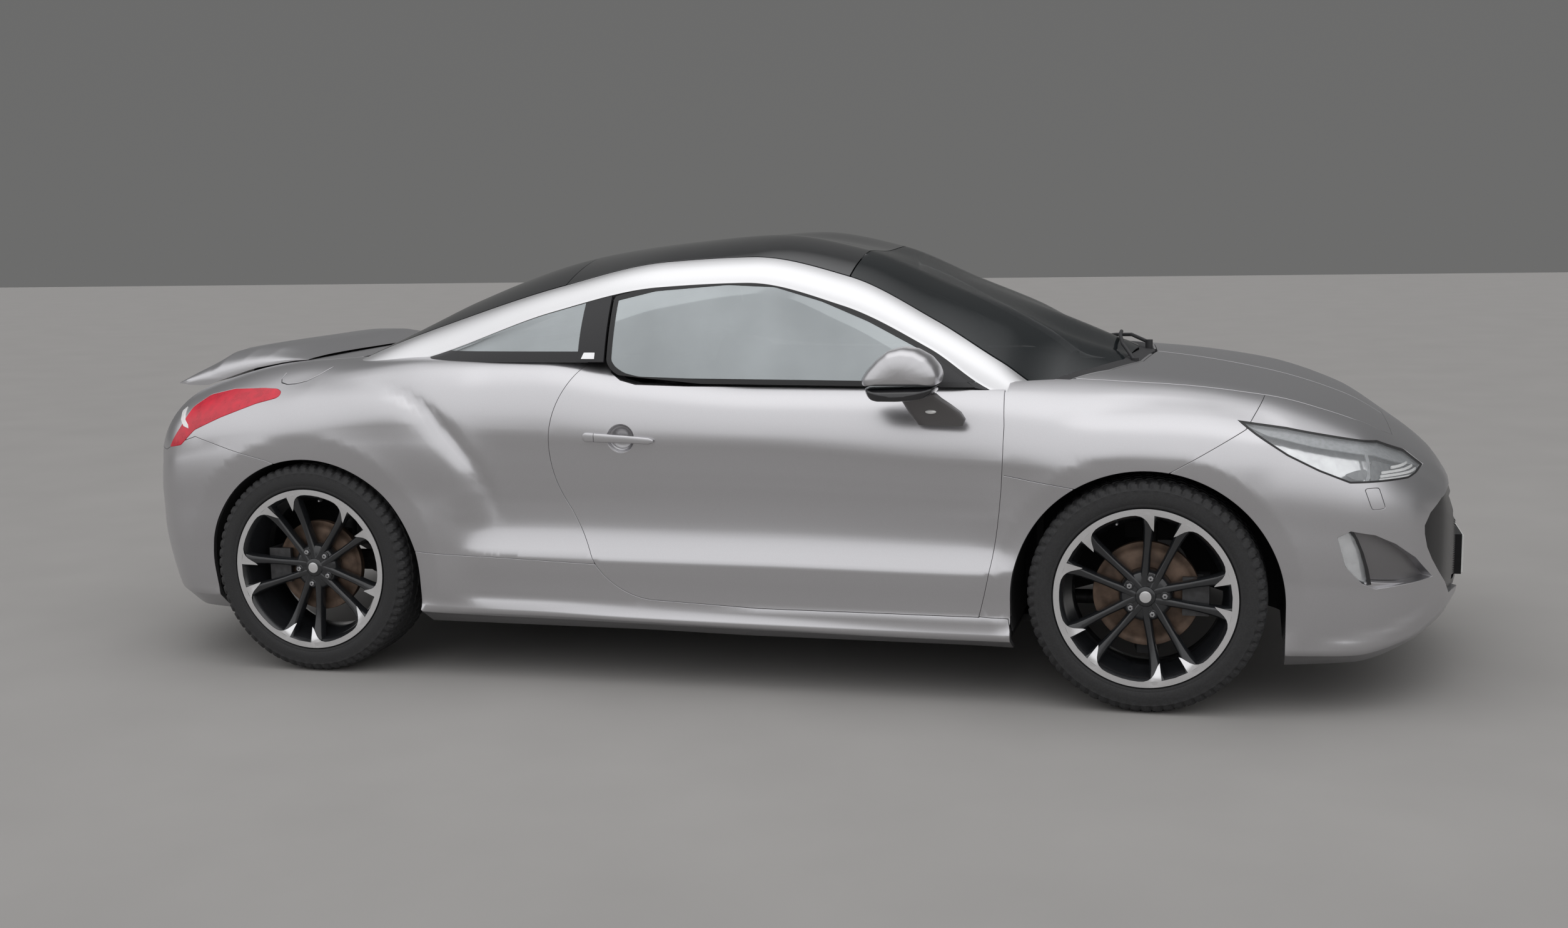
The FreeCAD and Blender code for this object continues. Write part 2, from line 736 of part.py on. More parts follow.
front_core = feature("front_core", body_core(700, 1300))
rear_core = feature("rear_core", body_core(-1400, -360))
arch_wall = feature("arch_wall", roof_slab(-1330, 1000, WINDOW_TOP, ARCH_TOP, size("arch_wall")))
roof_arch = cut("roof_arch", arch_wall, front_core, rear_core)
keep_both("roof_arches", roof_arch)
GLASS_END = 752
door_glass = common("door_glass_whole", side_glass, door_window)
for n, out in enumerate((0, SWING_ROOM)):
    arch_room = group(f"arch_room_{n}", roof_arch)
    arch_room.Placement = Placement(Vector(0, -out, -SWING_ROOM), Rotation())
    door_glass = cut(f"door_glass_{n}", door_glass, arch_room)
glass_tip = slab("glass_tip", (GLASS_END, -900, up(880)), (GLASS_END + 60, -600, up(960)))
keep_pair("door_glass", cut("door_glass", door_glass, glass_tip))
door_room = group("door_room", NODES["door_panel_right"])
door_room.Placement = Placement(Vector(0, 0, SWING_ROOM), Rotation())
pillar = cut("pillar", pillar_wall, rear_core, roof_arch, door_room)
keep_both("door_pillars", pillar)
quarter_glass = common("quarter_glass", side_glass, quarter_window)
HEADER = 330
REAR_HEADER = -582
ROOF_SEAM = 3 * SEAM
SCREEN_GAP = 2
roof_whole = feature(
    "roof_whole",
    roof_slab(REAR_HEADER, HEADER - SCREEN_GAP, ARCH_TOP, MIDDLE, size("roof_wall"), whole=True, seam=ROOF_SEAM),
)
screen_whole = feature(
    "screen_whole",
    roof_slab(HEADER + SCREEN_GAP, 1180, ARCH_TOP, MIDDLE, size("glass_wall"), 1.0, whole=True),
)
rear_whole = feature(
    "rear_whole",
    roof_slab(-1345, REAR_HEADER - 10, ARCH_TOP, MIDDLE, size("glass_wall"), 1.0, whole=True),
)
roof_arches_both = NODES["roof_arches"]
HINGE = Vector(along(-500), 0, up(1190))
HINGE_Y = across(500)
# Tailgate arm from its hinge: back and down past the roof's edge, then up to the glass
ARM_SHAPE = (
    (4, 14), (-10, 14), (-95, -56), (-104, -52), (-112, -40), (-112, 75), (-150, 75), (-150, -60),
    (-118, -86), (-60, -62), (-4, -16), (4, -16),
)
arm_blank = profile_prism([(HINGE.x + x, HINGE.z + z) for x, z in ARM_SHAPE], 14)
arm_blank.translate(Vector(0, -HINGE_Y, 0))
glass_over = feature(
    "glass_over",
    roof_slab(-700, REAR_HEADER - 1, ARCH_TOP, MIDDLE, 60 + size("glass_wall") + 1.3, -60.0, whole=True),
)
arm_hub = rod(
    "arm_hub",
    HINGE + Vector(0, -HINGE_Y - 7, 0),
    HINGE + Vector(0, -HINGE_Y + 7, 0),
    "hinge_pin + 10",
)
arm_eye = rod(
    "arm_eye",
    HINGE + Vector(0, -HINGE_Y - 9, 0),
    HINGE + Vector(0, -HINGE_Y + 9, 0),
    "hinge_pin + running_gap",
)
arm_solid = fuse("arm_solid", feature("arm_blank", arm_blank), arm_hub)
keep_both("tailgate_arms", cut("tailgate_arm", arm_solid, arm_eye, glass_over))
arm_pin = rod(
    "arm_pin",
    HINGE + Vector(0, -HINGE_Y - 20, 0),
    HINGE + Vector(0, -HINGE_Y + 12, 0),
    "hinge_pin",
)
arm_bracket = slab(
    "arm_bracket",
    (HINGE.x - 16, -HINGE_Y - 22, HINGE.z - 16),
    (HINGE.x + 16, -HINGE_Y - 13, up(1257)),
)
bracket = fuse("bracket", arm_pin, arm_bracket)
keep("roof_panel", fuse("roof_panel", roof_whole, bracket, mirror("bracket_left", bracket)))
rear_glass_form = feature("rear_glass_form", plan_prism(REAR_GLASS_PLAN, 0.0, up(900)))
keep("rear_window", cut("rear_window", common("rear_glass", rear_whole, rear_glass_form), rear_core))

# Bonnet and boot lid

front_wall = feature("front_wall", body_slab(1000, 2118, whole=True))
bonnet_hole = feature("bonnet_hole", plan_prism(BONNET_PLAN, 0.0, up(520)))


def leaning(x, gap):
    """Side view region behind the bonnet's front edge, which leans forwards."""
    return profile_prism(
        [
            (along(1006) + gap, up(560)),
            (x - gap - NOSE_LEAN * up(130), up(560)),
            (x - gap + NOSE_LEAN * up(310), up(1000)),
            (along(1006) + gap, up(1000)),
        ]
    )


bonnet_form = feature("bonnet_form", plan_prism(BONNET_PLAN, GAP, up(520)))
bonnet_side = feature("bonnet_side", leaning(along(NOSE_EDGE), GAP))
bonnet_room = feature("bonnet_room", leaning(along(NOSE_EDGE), 0.0))
bonnet_gap = common("bonnet_gap", bonnet_hole, bonnet_room)
deck_only = slab("deck_only", (along(990), -across(760), up(600)), (along(2300), across(760), up(1100)))
keep("bonnet", common("bonnet", front_wall, bonnet_form, bonnet_side, deck_only))

rear_wall = feature("rear_wall", body_slab(-2143.5, -1250, whole=True))
LID_FRONT = -1312
lid_room_side = feature(
    "lid_room_side",
    profile_prism(
        [
            (along(LID_FRONT), up(1100)),
            (along(LID_FRONT), up(930)),
            (along(-1900), up(LID_BOTTOM)),
            (along(-2300), up(LID_BOTTOM)),
            (along(-2300), up(1100)),
        ]
    ),
)
lid_form_side = feature(
    "lid_form_side",
    profile_prism(
        [
            (along(LID_FRONT) - SEAM, up(1100)),
            (along(LID_FRONT) - SEAM, up(930) + GAP),
            (along(-1900), up(LID_BOTTOM) + GAP),
            (along(-2300), up(LID_BOTTOM) + GAP),
            (along(-2300), up(1100)),
        ]
    ),
)
lid_room = common("lid_room", feature("lid_hole", plan_prism(BOOT_PLAN, 0.0, up(500))), lid_room_side)
boot_lid = common(
    "boot_lid_panel",
    rear_wall,
    feature("lid_form", plan_prism(BOOT_PLAN, GAP, up(500))),
    lid_form_side,
)
keep("boot_lid", boot_lid)

# Cabin opening between the body sides

CABIN = (
    (1160, 0), (1132, -330), (1050, -560), (960, -700), (800, -742), (-1000, -742),
    (-1180, -655), (-1262, -622), (-1312, -606), (-1312, 0),
)
cabin = feature("cabin", plan_prism(CABIN, 0.0, up(560)))

# Fixed panels: sills, front wings, rear quarters and bumpers

side_wall_front = feature("side_wall_front", body_slab(750, 1620))
side_wall_rear = feature("side_wall_rear", body_slab(-1960, -414))
side_wall_sill = feature("side_wall_sill", body_slab(-1250, 900, 0, LEDGE + 1))
bumper_form = feature("bumper_form", side_prism(FRONT_BUMPER, FAR / 2, -FAR / 2))
tail_form = feature("tail_form", side_prism(REAR_BUMPER, FAR / 2, -FAR / 2))
sill_form = feature("sill_form", side_prism(SILL, -across(600), OUTSIDE_Y))
headlamp_form = feature("headlamp_form", side_prism(HEADLAMP, -across(300), OUTSIDE_Y))
tail_lamp_form = feature("tail_lamp_form", side_prism(TAIL_LAMP, -across(560), OUTSIDE_Y))
headlamp_form_left = mirror("headlamp_form_left", headlamp_form)
tail_lamp_form_left = mirror("tail_lamp_form_left", tail_lamp_form)

wing_room = slab("wing_room", (along(745), -across(1000), 0), (along(1900), -across(600), up(1200)))
wing_whole = common("wing_whole", side_wall_front, wing_room)
door_top = slab("door_top", (along(700), -across(1000), up(905)), (along(836), -across(600), up(1200)))
cowl_form = feature("cowl_form", plan_prism(COWL_PLAN, 0.0, up(520)))
front_wing = cut(
    "front_wing",
    wing_whole,
    door_hole,
    sill_form,
    bumper_form,
    bonnet_gap,
    cabin,
    cowl_form,
    headlamp_form,
    arches,
    roof_arch,
    door_top,
)
keep_both("front_wings", front_wing)
keep_both("sills", cut("sill", common("sill_whole", side_wall_sill, sill_form), door_hole, arches))
rear_quarter = cut(
    "rear_quarter",
    side_wall_rear,
    door_hole,
    sill_form,
    tail_form,
    lid_room,
    cabin,
    tail_lamp_form,
    arches,
    roof_arch,
)
keep_both("rear_quarters", rear_quarter)
quarter_glass_low = cut("quarter_glass_low", quarter_glass, rear_core)
quarter_glass_high = cut("quarter_glass_high", quarter_glass_low, roof_arch)
keep_both("quarter_windows", cut("quarter_glass_fit", quarter_glass_high, rear_quarter))

# Nose, grille, lamps and plates

MOUTH_HALF = 400
mouth = feature(
    "mouth",
    Part.makeCompound(
        [
            Part.makeBox(
                300, across(2 * MOUTH_HALF), up(285), Vector(along(1985), -across(MOUTH_HALF), up(285))
            )
        ]
    ),
)
FOG_SINK = 32
fog_room = feature("fog_room", side_prism(FOG_RECESS, -across(500), OUTSIDE_Y, 0.0))
fog_keep = slab("fog_keep", (along(1650), -across(1000), up(300)), (along(2100), -across(560), up(600)))
fog_cut_room = common("fog_cut_room", fog_room, fog_keep)
nose_whole = common("nose_whole", feature("nose_wall", body_slab(1240, 2118, whole=True)), bumper_form)
front_bumper = cut(
    "front_bumper",
    nose_whole,
    bonnet_gap,
    headlamp_form,
    headlamp_form_left,
    arches,
    arches_left,
    mouth,
    fog_cut_room,
    mirror("fog_cut_left", fog_cut_room),
)
keep("front_bumper", front_bumper)
headlamp_whole = common("headlamp_whole", feature("lamp_wall", body_slab(1450, 2010)), headlamp_form)
headlamp = cut("headlamp", headlamp_whole, bonnet_gap)
keep_both("headlamps", headlamp)
tail_lamp_whole = common("tail_lamp_whole", feature("tail_wall", body_slab(-1920, -1460)), tail_lamp_form)
tail_lamp = cut("tail_lamp", tail_lamp_whole, lid_room)
keep_both("tail_lamps", tail_lamp)

PLATE_LOW = up(446)
plate_half = size("plate_width") / 2
TAIL = along(-2143.5)
rear_bumper_whole = common("rear_bumper_whole", rear_wall, tail_form)
tail_end = slab("tail_end", (TAIL, -across(190), up(393)), (TAIL + 34, across(190), up(566)))
plate_room = slab(
    "plate_room",
    (TAIL - 10, -plate_half - 2, PLATE_LOW - 2),
    (TAIL + 12, plate_half + 2, PLATE_LOW + size("plate_height") + 2),
)
rear_bumper = cut(
    "rear_bumper",
    fuse("rear_bumper_solid", rear_bumper_whole, tail_end),
    lid_room,
    tail_lamp_form,
    tail_lamp_form_left,
    arches,
    arches_left,
    plate_room,
)
keep("rear_bumper", rear_bumper)

NOSE = along(2143.5)
PLATE_WALL = 6
GRILLE_FRONT = ((0, 0), (200, -10), (300, -26), (399.7, -56))
GRILLE_DEEP = 60
# Heights of the grille's bars: lower edge, upper edge, how far behind the nose
GRILLE_BARS = (
    (285.3, 302, 6), (312, 322, 14), (420, 432, 14), (448, 458, 18), (474, 484, 22),
    (500, 510, 27), (526, 536, 33), (552, 569.7, 40),
)


def grille_slice(low, high, back, deep):
    """Bar of the grille, bowed in plan, from one height to another."""
    front = [Vector(NOSE - back + x, -across(y), up(low)) for y, x in GRILLE_FRONT]
    half = front + [Vector(p.x - deep, p.y, p.z) for p in reversed(front)]
    right = Part.Face(Part.makePolygon(half + half[:1])).extrude(Vector(0, 0, up(high) - up(low)))
    return right.fuse(right.mirror(Vector(), Vector(0, 1, 0))).removeSplitter()


bars = [grille_slice(low, high, back, GRILLE_DEEP) for low, high, back in GRILLE_BARS]
bars.append(grille_slice(285.3, 569.7, 58, 12))
mesh = feature("grille_bars", bars[0].multiFuse(bars[1:]).removeSplitter())
plate_holder = slab(
    "plate_holder",
    (NOSE - 60, -plate_half - 8, up(306)),
    (NOSE - PLATE_WALL, plate_half + 8, up(306) + size("plate_height") + 10),
)
keep("grille", fuse("grille", mesh, plate_holder))
front_plate = slab(
    "front_plate",
    (NOSE - PLATE_WALL, -plate_half, up(306) + 5),
    (NOSE, plate_half, up(306) + 5 + size("plate_height")),
)
rear_plate = slab(
    "rear_plate",
    (TAIL + 12 - PLATE_WALL, -plate_half, PLATE_LOW),
    (TAIL + 12, plate_half, PLATE_LOW + size("plate_height")),
)
keep("number_plates", group("number_plates", front_plate, rear_plate))

fog_fit = feature("fog_fit", side_prism(FOG_RECESS, -across(500), OUTSIDE_Y, SEAM))
fog_wall = feature("fog_wall", body_slab(1700, 2060, sink=FOG_SINK))
keep_both("fog_lamps", common("fog_lamp", fog_fit, fog_wall, fog_keep))

# Cowl with the wipers, ahead of the windscreen


def height_at(points, reach):
    """Height of a half section's upper side at a distance from the middle plane."""
    for a, b in zip(reversed(points[:-1]), reversed(points[1:])):
        if a[0] >= reach >= b[0]:
            share = (a[0] - reach) / ((a[0] - b[0]) or 1.0)
            return a[1] + share * (b[1] - a[1])
    return points[0][1]


def on_roof(x, y, lift):
    """Point of the roof's or windscreen's surface at a drawn place, raised by lift."""
    points = roof_section(x)[ROOF_FIRSTS[ARCH_TOP] :]
    side = -1 if y < 0 else 1
    reach = across(abs(y))
    return Vector(along(x), side * reach, height_at(points, reach) + lift)


def wiper(name, places):
    """Post in the cowl, then an arm with its blade along the glass through the places."""
    points = [on_roof(x, y, 22) for x, y in places]
    foot = Vector(points[0].x, points[0].y, points[0].z - 75)
    bars = [rod(name + "_post", foot, points[0] + Vector(0, 0, 9), "pivot_pin")]
    for n in range(len(points) - 1):
        bars.append(rod(f"{name}_arm_{n}", points[n], points[n + 1], "wiper_radius"))
    return bars


cowl_strip = common("cowl_strip", feature("cowl_wall", body_slab(930, 1240, whole=True)), cowl_form)
keep("windscreen", cut("windscreen", screen_whole, roof_arches_both, front_core, cowl_strip))
wipers = wiper("wiper_right", ((1166, -330), (1120, -200), (1102, -60), (1096, 90), (1092, 250)))
wipers += wiper("wiper_left", ((1186, 90), (1120, 240), (1060, 370), (1005, 470)))
keep("cowl", fuse("cowl", cowl_strip, *wipers))

# Wheels, drawn at the middle of the car with the outer face towards -Y


def polygon_sketch(body, name, role, corners):
    """Closed outline in one of the body's planes, each corner held by the sheet's sizes."""
    plane = [item for item in body.Origin.OriginFeatures if item.Role == role][0]
    sketch = body.newObject("Sketcher::SketchObject", name)
    sketch.AttachmentSupport = [(plane, "")]
    sketch.MapMode = "FlatFace"
    places = [Vector(value(u), value(v), 0) for u, v in corners]
    count = len(places)
    for n in range(count):
        sketch.addGeometry(Part.LineSegment(places[n], places[(n + 1) % count]))
    for n in range(count):
        sketch.addConstraint(Sketcher.Constraint("Coincident", n, 2, (n + 1) % count, 1))
    for n, (u, v) in enumerate(corners):
        for kind, formula, number in (("DistanceX", u, places[n].x), ("DistanceY", v, places[n].y)):
            place = sketch.addConstraint(Sketcher.Constraint(kind, -1, 1, n, 1, number))
            words = [w if w in "+-*" or w[-1].isdigit() else "Dimensions." + w for w in formula.split()]
            sketch.setExpression(f"Constraints[{place}]", " ".join(words))
    return sketch


def turned(name, corners):
    """Solid of revolution about the wheel's axis. Corners: radius, then place along the axis."""
    body = doc.addObject("PartDesign::Body", name)
    sketch = polygon_sketch(body, name + "_outline", "XY_Plane", corners)
    turn = body.newObject("PartDesign::Revolution", name + "_turn")
    turn.Profile = sketch
    turn.ReferenceAxis = (sketch, ["V_Axis"])
    turn.Angle = 360
    return body


tyre = turned(
    "tyre",
    (
        ("flange_radius + bead_gap", "-0.5 * tyre_width"),
        ("tyre_radius - shoulder_drop", "-0.5 * tyre_width"),
        ("tyre_radius", "-0.5 * tread_width"),
        ("tyre_radius", "0.5 * tread_width"),
        ("tyre_radius - shoulder_drop", "0.5 * tyre_width"),
        ("flange_radius + bead_gap", "0.5 * tyre_width"),
    ),
)


def rim(name, disc_radius):
    """Wheel's barrel and lips, five pairs of spokes, hub and brake disc, as one piece."""
    barrel = turned(
        name + "_barrel",
        (
            ("flange_radius", "-0.5 * rim_width"),
            ("flange_radius", "-0.5 * bead_width - bead_gap"),
            ("seat_radius", "-0.5 * bead_width - bead_gap"),
            ("seat_radius", "0.5 * bead_width + bead_gap"),
            ("flange_radius", "0.5 * bead_width + bead_gap"),
            ("seat_radius - barrel_wall", "0.5 * rim_width"),
            ("seat_radius - barrel_wall", "-0.5 * rim_width + 0.5 * lip_wall"),
            ("flange_radius - lip_wall", "-0.5 * rim_width"),
        ),
    )
    face = -size("rim_width") / 2 + size("spoke_face")
    reach = size("seat_radius") - size("barrel_wall") / 2
    near = size("spoke_root")
    half = size("spoke_wide") / 2
    flare = size("spoke_flare") / 2
    spokes = []
    for pair in range(5):
        for side in (-1, 1):
            tip = PAIR_SPREAD * side
            turn = Rotation(Vector(0, -1, 0), FIRST_PAIR + 72 * pair)
            base = side * (half + PAIR_GAP)
            lean = math.sin(math.radians(tip)) * reach
            knee = (reach * 0.8, base + (lean - base) * 0.8, half)
            steps = ((near, base, half), knee, (reach, lean, flare))
            ring = [Vector(u, face, v - w) for u, v, w in steps]
            ring += [Vector(u, face, v + w) for u, v, w in reversed(steps)]
            blade = Part.Face(Part.makePolygon(ring + ring[:1])).extrude(Vector(0, size("spoke_deep"), 0))
            blade.Placement = Placement(Vector(), turn)
            spokes.append(blade)
    web_room = Part.makeCylinder(
        reach,
        size("rim_width"),
        Vector(0, -size("rim_width") / 2, 0),
        Vector(0, 1, 0),
    )
    web = feature(name + "_spokes", spokes[0].multiFuse(spokes[1:]).common(web_room))
    hub_start = -size("rim_width") / 2 + size("hub_face")
    hub = rod(name + "_hub", (0, hub_start, 0), (0, -size("disc_offset"), 0), "hub_radius")
    disc = rod(
        name + "_disc",
        (0, -size("disc_offset") - size("disc_wall"), 0),
        (0, -size("disc_offset"), 0),
        disc_radius,
    )
    solid = fuse(name + "_solid", barrel, web, hub, disc)
    bore = rod(name + "_bore", (0, hub_start + CAP_WALL, 0), (0, 0, 0), "spindle_radius + running_gap")
    return cut(name, solid, bore)


PAIR_SPREAD = 13
PAIR_GAP = 5
FIRST_PAIR = 75
REAR_PAIR = 43
CAP_WALL = 6
rims = {"front": rim("rim_front", "front_disc_radius"), "rear": rim("rim_rear", "rear_disc_radius")}
CORNERS = (
    ("front_right", "front", FRONT_AXLE, -size("front_track") / 2),
    ("front_left", "front", FRONT_AXLE, size("front_track") / 2),
    ("rear_right", "rear", REAR_AXLE, -size("rear_track") / 2),
    ("rear_left", "rear", REAR_AXLE, size("rear_track") / 2),
)
for corner, axle, x, y in CORNERS:
    for kind, source in (("tyre", tyre), ("rim", rims[axle])):
        if y < 0:
            item = group(f"{kind}_{corner}", source)
        else:
            item = mirror(f"{kind}_{corner}", source)
        turn = REAR_PAIR - FIRST_PAIR if axle == "rear" else 0
        item.Placement = Placement(Vector(x, y, AXLE_HEIGHT), Rotation(Vector(0, -1, 0), turn))
        keep(f"{kind}_{corner}", item)

# Knuckles with strut, spindle and caliper

LOWER = Vector(FRONT_AXLE, -size("lower_pivot_y"), size("lower_pivot_z"))
UPPER = Vector(FRONT_AXLE, -size("upper_pivot_y"), size("upper_pivot_z"))
PIVOT_WAY = (UPPER - LOWER).normalize()
WHEEL_Y = -size("front_track") / 2
REAR_Y = -size("rear_track") / 2


def on_pivot(z):
    """Point of the steering pivot's axis at a height."""
    return LOWER + PIVOT_WAY * ((z - LOWER.z) / PIVOT_WAY.z)


def beside(axle_x, side, start, end, low, high):
    """Slab's corners, drawn ahead of the axle where side is 1 and behind it where it is -1."""
    ends = sorted((axle_x + side * start, axle_x + side * end))
    return (ends[0], *low), (ends[1], *high)


def caliper(name, axle_x, side, wheel_y, disc_radius):
    """Brake caliper over the edge of a disc."""
    disc_in = wheel_y - size("disc_offset") + size("brake_gap")
    disc_out = wheel_y - size("disc_offset") - size("disc_wall") - size("brake_gap")
    edge = size(disc_radius)
    low = AXLE_HEIGHT - 55
    high = AXLE_HEIGHT + 55
    inner = slab(
        name + "_inner",
        *beside(axle_x, side, edge - 55, edge + 24, (disc_in, low), (disc_in + 42, high)),
    )
    outer = slab(
        name + "_outer",
        *beside(axle_x, side, edge - 50, edge + 24, (disc_out - 15, low), (disc_out, high)),
    )
    bridge = slab(
        name + "_bridge",
        *beside(axle_x, side, edge + 6, edge + 24, (disc_out - 15, low), (disc_in + 42, high)),
    )
    return fuse(name, inner, outer, bridge)


def hub_carrier(name, axle_x, side, wheel_y, disc_radius):
    """Upright plate, spindle and caliper of one wheel."""
    plate_out = wheel_y + 55
    plate = slab(
        name + "_plate",
        (axle_x - 48, plate_out, AXLE_HEIGHT - 110),
        (axle_x + 48, plate_out + 35, AXLE_HEIGHT + 100),
    )
    disc_in = wheel_y - size("disc_offset") + size("brake_gap")
    arm_low = (disc_in + 10, AXLE_HEIGHT - 40)
    arm_high = (plate_out + 30, AXLE_HEIGHT + 40)
    arm = slab(name + "_arm", *beside(axle_x, side, 30, size(disc_radius) - 10, arm_low, arm_high))
    face = wheel_y - size("rim_width") / 2 + size("hub_face") + CAP_WALL + 3
    spindle = rod(
        name + "_spindle",
        (axle_x, plate_out + 10, AXLE_HEIGHT),
        (axle_x, face, AXLE_HEIGHT),
        "spindle_radius",
    )
    return fuse(name, plate, arm, spindle, caliper(name + "_caliper", axle_x, side, wheel_y, disc_radius))


front_carrier = hub_carrier("front_carrier", FRONT_AXLE, 1, WHEEL_Y, "front_disc_radius")
lug = slab(
    "lower_lug",
    (FRONT_AXLE - 28, LOWER.y - 30, LOWER.z - 8),
    (FRONT_AXLE + 28, WHEEL_Y + 75, LOWER.z + 42),
)
strut_bracket = slab(
    "strut_bracket",
    (FRONT_AXLE - 30, WHEEL_Y + 80, AXLE_HEIGHT + 40),
    (FRONT_AXLE + 30, -across(628), AXLE_HEIGHT + 95),
)
strut_foot = Vector(FRONT_AXLE, -across(650), AXLE_HEIGHT + 60)
strut_head = Vector(FRONT_AXLE, on_pivot(UPPER.z - 30).y, UPPER.z - 30)
strut = rod("strut", strut_foot, strut_head, "strut_radius")
strut_pin = rod("strut_pin", on_pivot(UPPER.z - 40), on_pivot(UPPER.z + 27), "pivot_pin")
knuckle_solid = fuse("knuckle_solid", front_carrier, lug, strut_bracket, strut, strut_pin)
lug_hole = rod("lug_hole", on_pivot(LOWER.z - 40), on_pivot(LOWER.z + 80), "pivot_pin + running_gap")
keep_pair("knuckle", cut("knuckle", knuckle_solid, lug_hole))

# Front frame: rails, strut towers, beam; front suspension: cross-member and arms

RAIL_Y = across(400)
RAIL_WIDE = 50
tower_low = UPPER.z + 8
rail = slab("rail", (along(905), -RAIL_Y - RAIL_WIDE, up(420)), (along(1990), -RAIL_Y, up(505)))
tower_wall = slab(
    "tower_wall",
    (FRONT_AXLE - 85, -RAIL_Y - RAIL_WIDE - 22, up(430)),
    (FRONT_AXLE + 85, -RAIL_Y - RAIL_WIDE, tower_low + 15),
)
tower_top = slab(
    "tower_top",
    (FRONT_AXLE - 85, UPPER.y - 45, tower_low),
    (FRONT_AXLE + 85, -RAIL_Y - RAIL_WIDE, tower_low + 15),
)
tower_hole = rod("tower_hole", on_pivot(UPPER.z - 30), on_pivot(UPPER.z + 60), "pivot_pin + running_gap")
side_frame = cut("side_frame", fuse("side_frame_solid", rail, tower_wall, tower_top), tower_hole)
front_beam = slab(
    "front_beam",
    (along(1960), -RAIL_Y - RAIL_WIDE, up(405)),
    (along(1990), RAIL_Y + RAIL_WIDE, up(520)),
)
tow_socket = rod(
    "tow_socket",
    (along(1990) + 1, -across(300), up(470)),
    (along(1950), -across(300), up(470)),
    "tow_eye_radius",
)

cross_member = slab(
    "cross_member",
    (FRONT_AXLE - 90, -across(330), 170),
    (FRONT_AXLE + 60, across(330), 235),
)
arm_corners = [
    Vector(FRONT_AXLE - 90, -across(300), 150),
    Vector(FRONT_AXLE + 60, -across(300), 150),
    Vector(FRONT_AXLE + 28, LOWER.y - 26, 150),
    Vector(FRONT_AXLE - 28, LOWER.y - 26, 150),
]
arm_top = LOWER.z - 8 - size("brake_gap") - 0.5
lower_arm = feature(
    "lower_arm",
    Part.Face(Part.makePolygon(arm_corners + arm_corners[:1])).extrude(Vector(0, 0, arm_top - 150)),
)
ball_pin = rod("ball_pin", on_pivot(155), on_pivot(LOWER.z + 36), "pivot_pin")
hanger = slab("hanger", (FRONT_AXLE - 90, -across(440), 170), (FRONT_AXLE - 30, -across(405), up(430)))
hanger_foot = slab(
    "hanger_foot",
    (FRONT_AXLE - 90, -across(440), 170),
    (FRONT_AXLE - 30, -across(300), 230),
)
engine_mount = slab(
    "engine_mount",
    (FRONT_AXLE - 60, -RAIL_Y - 5, up(430)),
    (FRONT_AXLE + 20, -size("engine_width") / 2 - SEAT_GAP, up(480)),
)
arm_side = fuse("arm_side", lower_arm, ball_pin, hanger, hanger_foot, side_frame, engine_mount)
# Rubber-tipped stop on each rail that the closed bonnet rests on
BUFFER_X = 1720
BUFFER_Y = 425
buffer_points = body_section(BUFFER_X)
BUFFER_TOP = height_at(inset(buffer_points, body_depths(buffer_points)), across(BUFFER_Y)) + 5
buffer = rod(
    "buffer",
    (along(BUFFER_X), -across(BUFFER_Y), up(500)),
    (along(BUFFER_X), -across(BUFFER_Y), BUFFER_TOP),
    "strut_radius - 10",
)
bonnet_down = group("bonnet_down", NODES["bonnet"])
bonnet_down.Placement = Placement(Vector(0, 0, -SEAM), Rotation())
bonnet_stop = cut("bonnet_stop", buffer, bonnet_down)
front_frame = fuse(
    "front_frame_solid",
    cross_member,
    arm_side,
    bonnet_stop,
    mirror("arm_side_left", arm_side),
    mirror("bonnet_stop_left", bonnet_stop),
    front_beam,
)
keep("front_frame", cut("front_frame", front_frame, tow_socket))

rear_carrier = hub_carrier("rear_carrier", REAR_AXLE, -1, REAR_Y, "rear_disc_radius")
trailing_arm = slab(
    "trailing_arm",
    (REAR_AXLE - 45, REAR_Y + 126, 290),
    (REAR_AXLE + 381, REAR_Y + 166, 350),
)
arm_link = slab("arm_link", (REAR_AXLE - 45, REAR_Y + 85, 290), (REAR_AXLE + 45, REAR_Y + 130, 350))
damper = rod(
    "damper",
    (REAR_AXLE - 30, REAR_Y + 222, 320),
    (REAR_AXLE - 30, REAR_Y + 222, up(520) - SEAT_GAP),
    "strut_radius",
)
damper_foot = slab("damper_foot", (REAR_AXLE - 60, REAR_Y + 126, 295), (REAR_AXLE, REAR_Y + 240, 325))
axle_side = fuse("axle_side", rear_carrier, trailing_arm, arm_link, damper, damper_foot)
axle_tube = rod(
    "axle_tube",
    (REAR_AXLE + 120, REAR_Y + 120, 320),
    (REAR_AXLE + 120, -REAR_Y - 120, 320),
    "strut_radius + 15",
)
rear_axle = fuse("rear_axle_whole", axle_side, mirror("axle_side_left", axle_side), axle_tube)

# Engine block and drive shafts

engine = block(
    "engine",
    "engine_length",
    "engine_width",
    "engine_height",
    (FRONT_AXLE - size("engine_length") / 2 + 20, -size("engine_width") / 2, size("engine_base")),
)
shaft_end = WHEEL_Y + 105
drive_shaft = rod(
    "drive_shaft",
    (FRONT_AXLE, -size("engine_width") / 2, AXLE_HEIGHT),
    (FRONT_AXLE, shaft_end, AXLE_HEIGHT),
    "pivot_pin",
)
keep("engine_block", fuse("engine_block", engine, drive_shaft, mirror("drive_shaft_left", drive_shaft)))

# Floor, bulkheads and liners

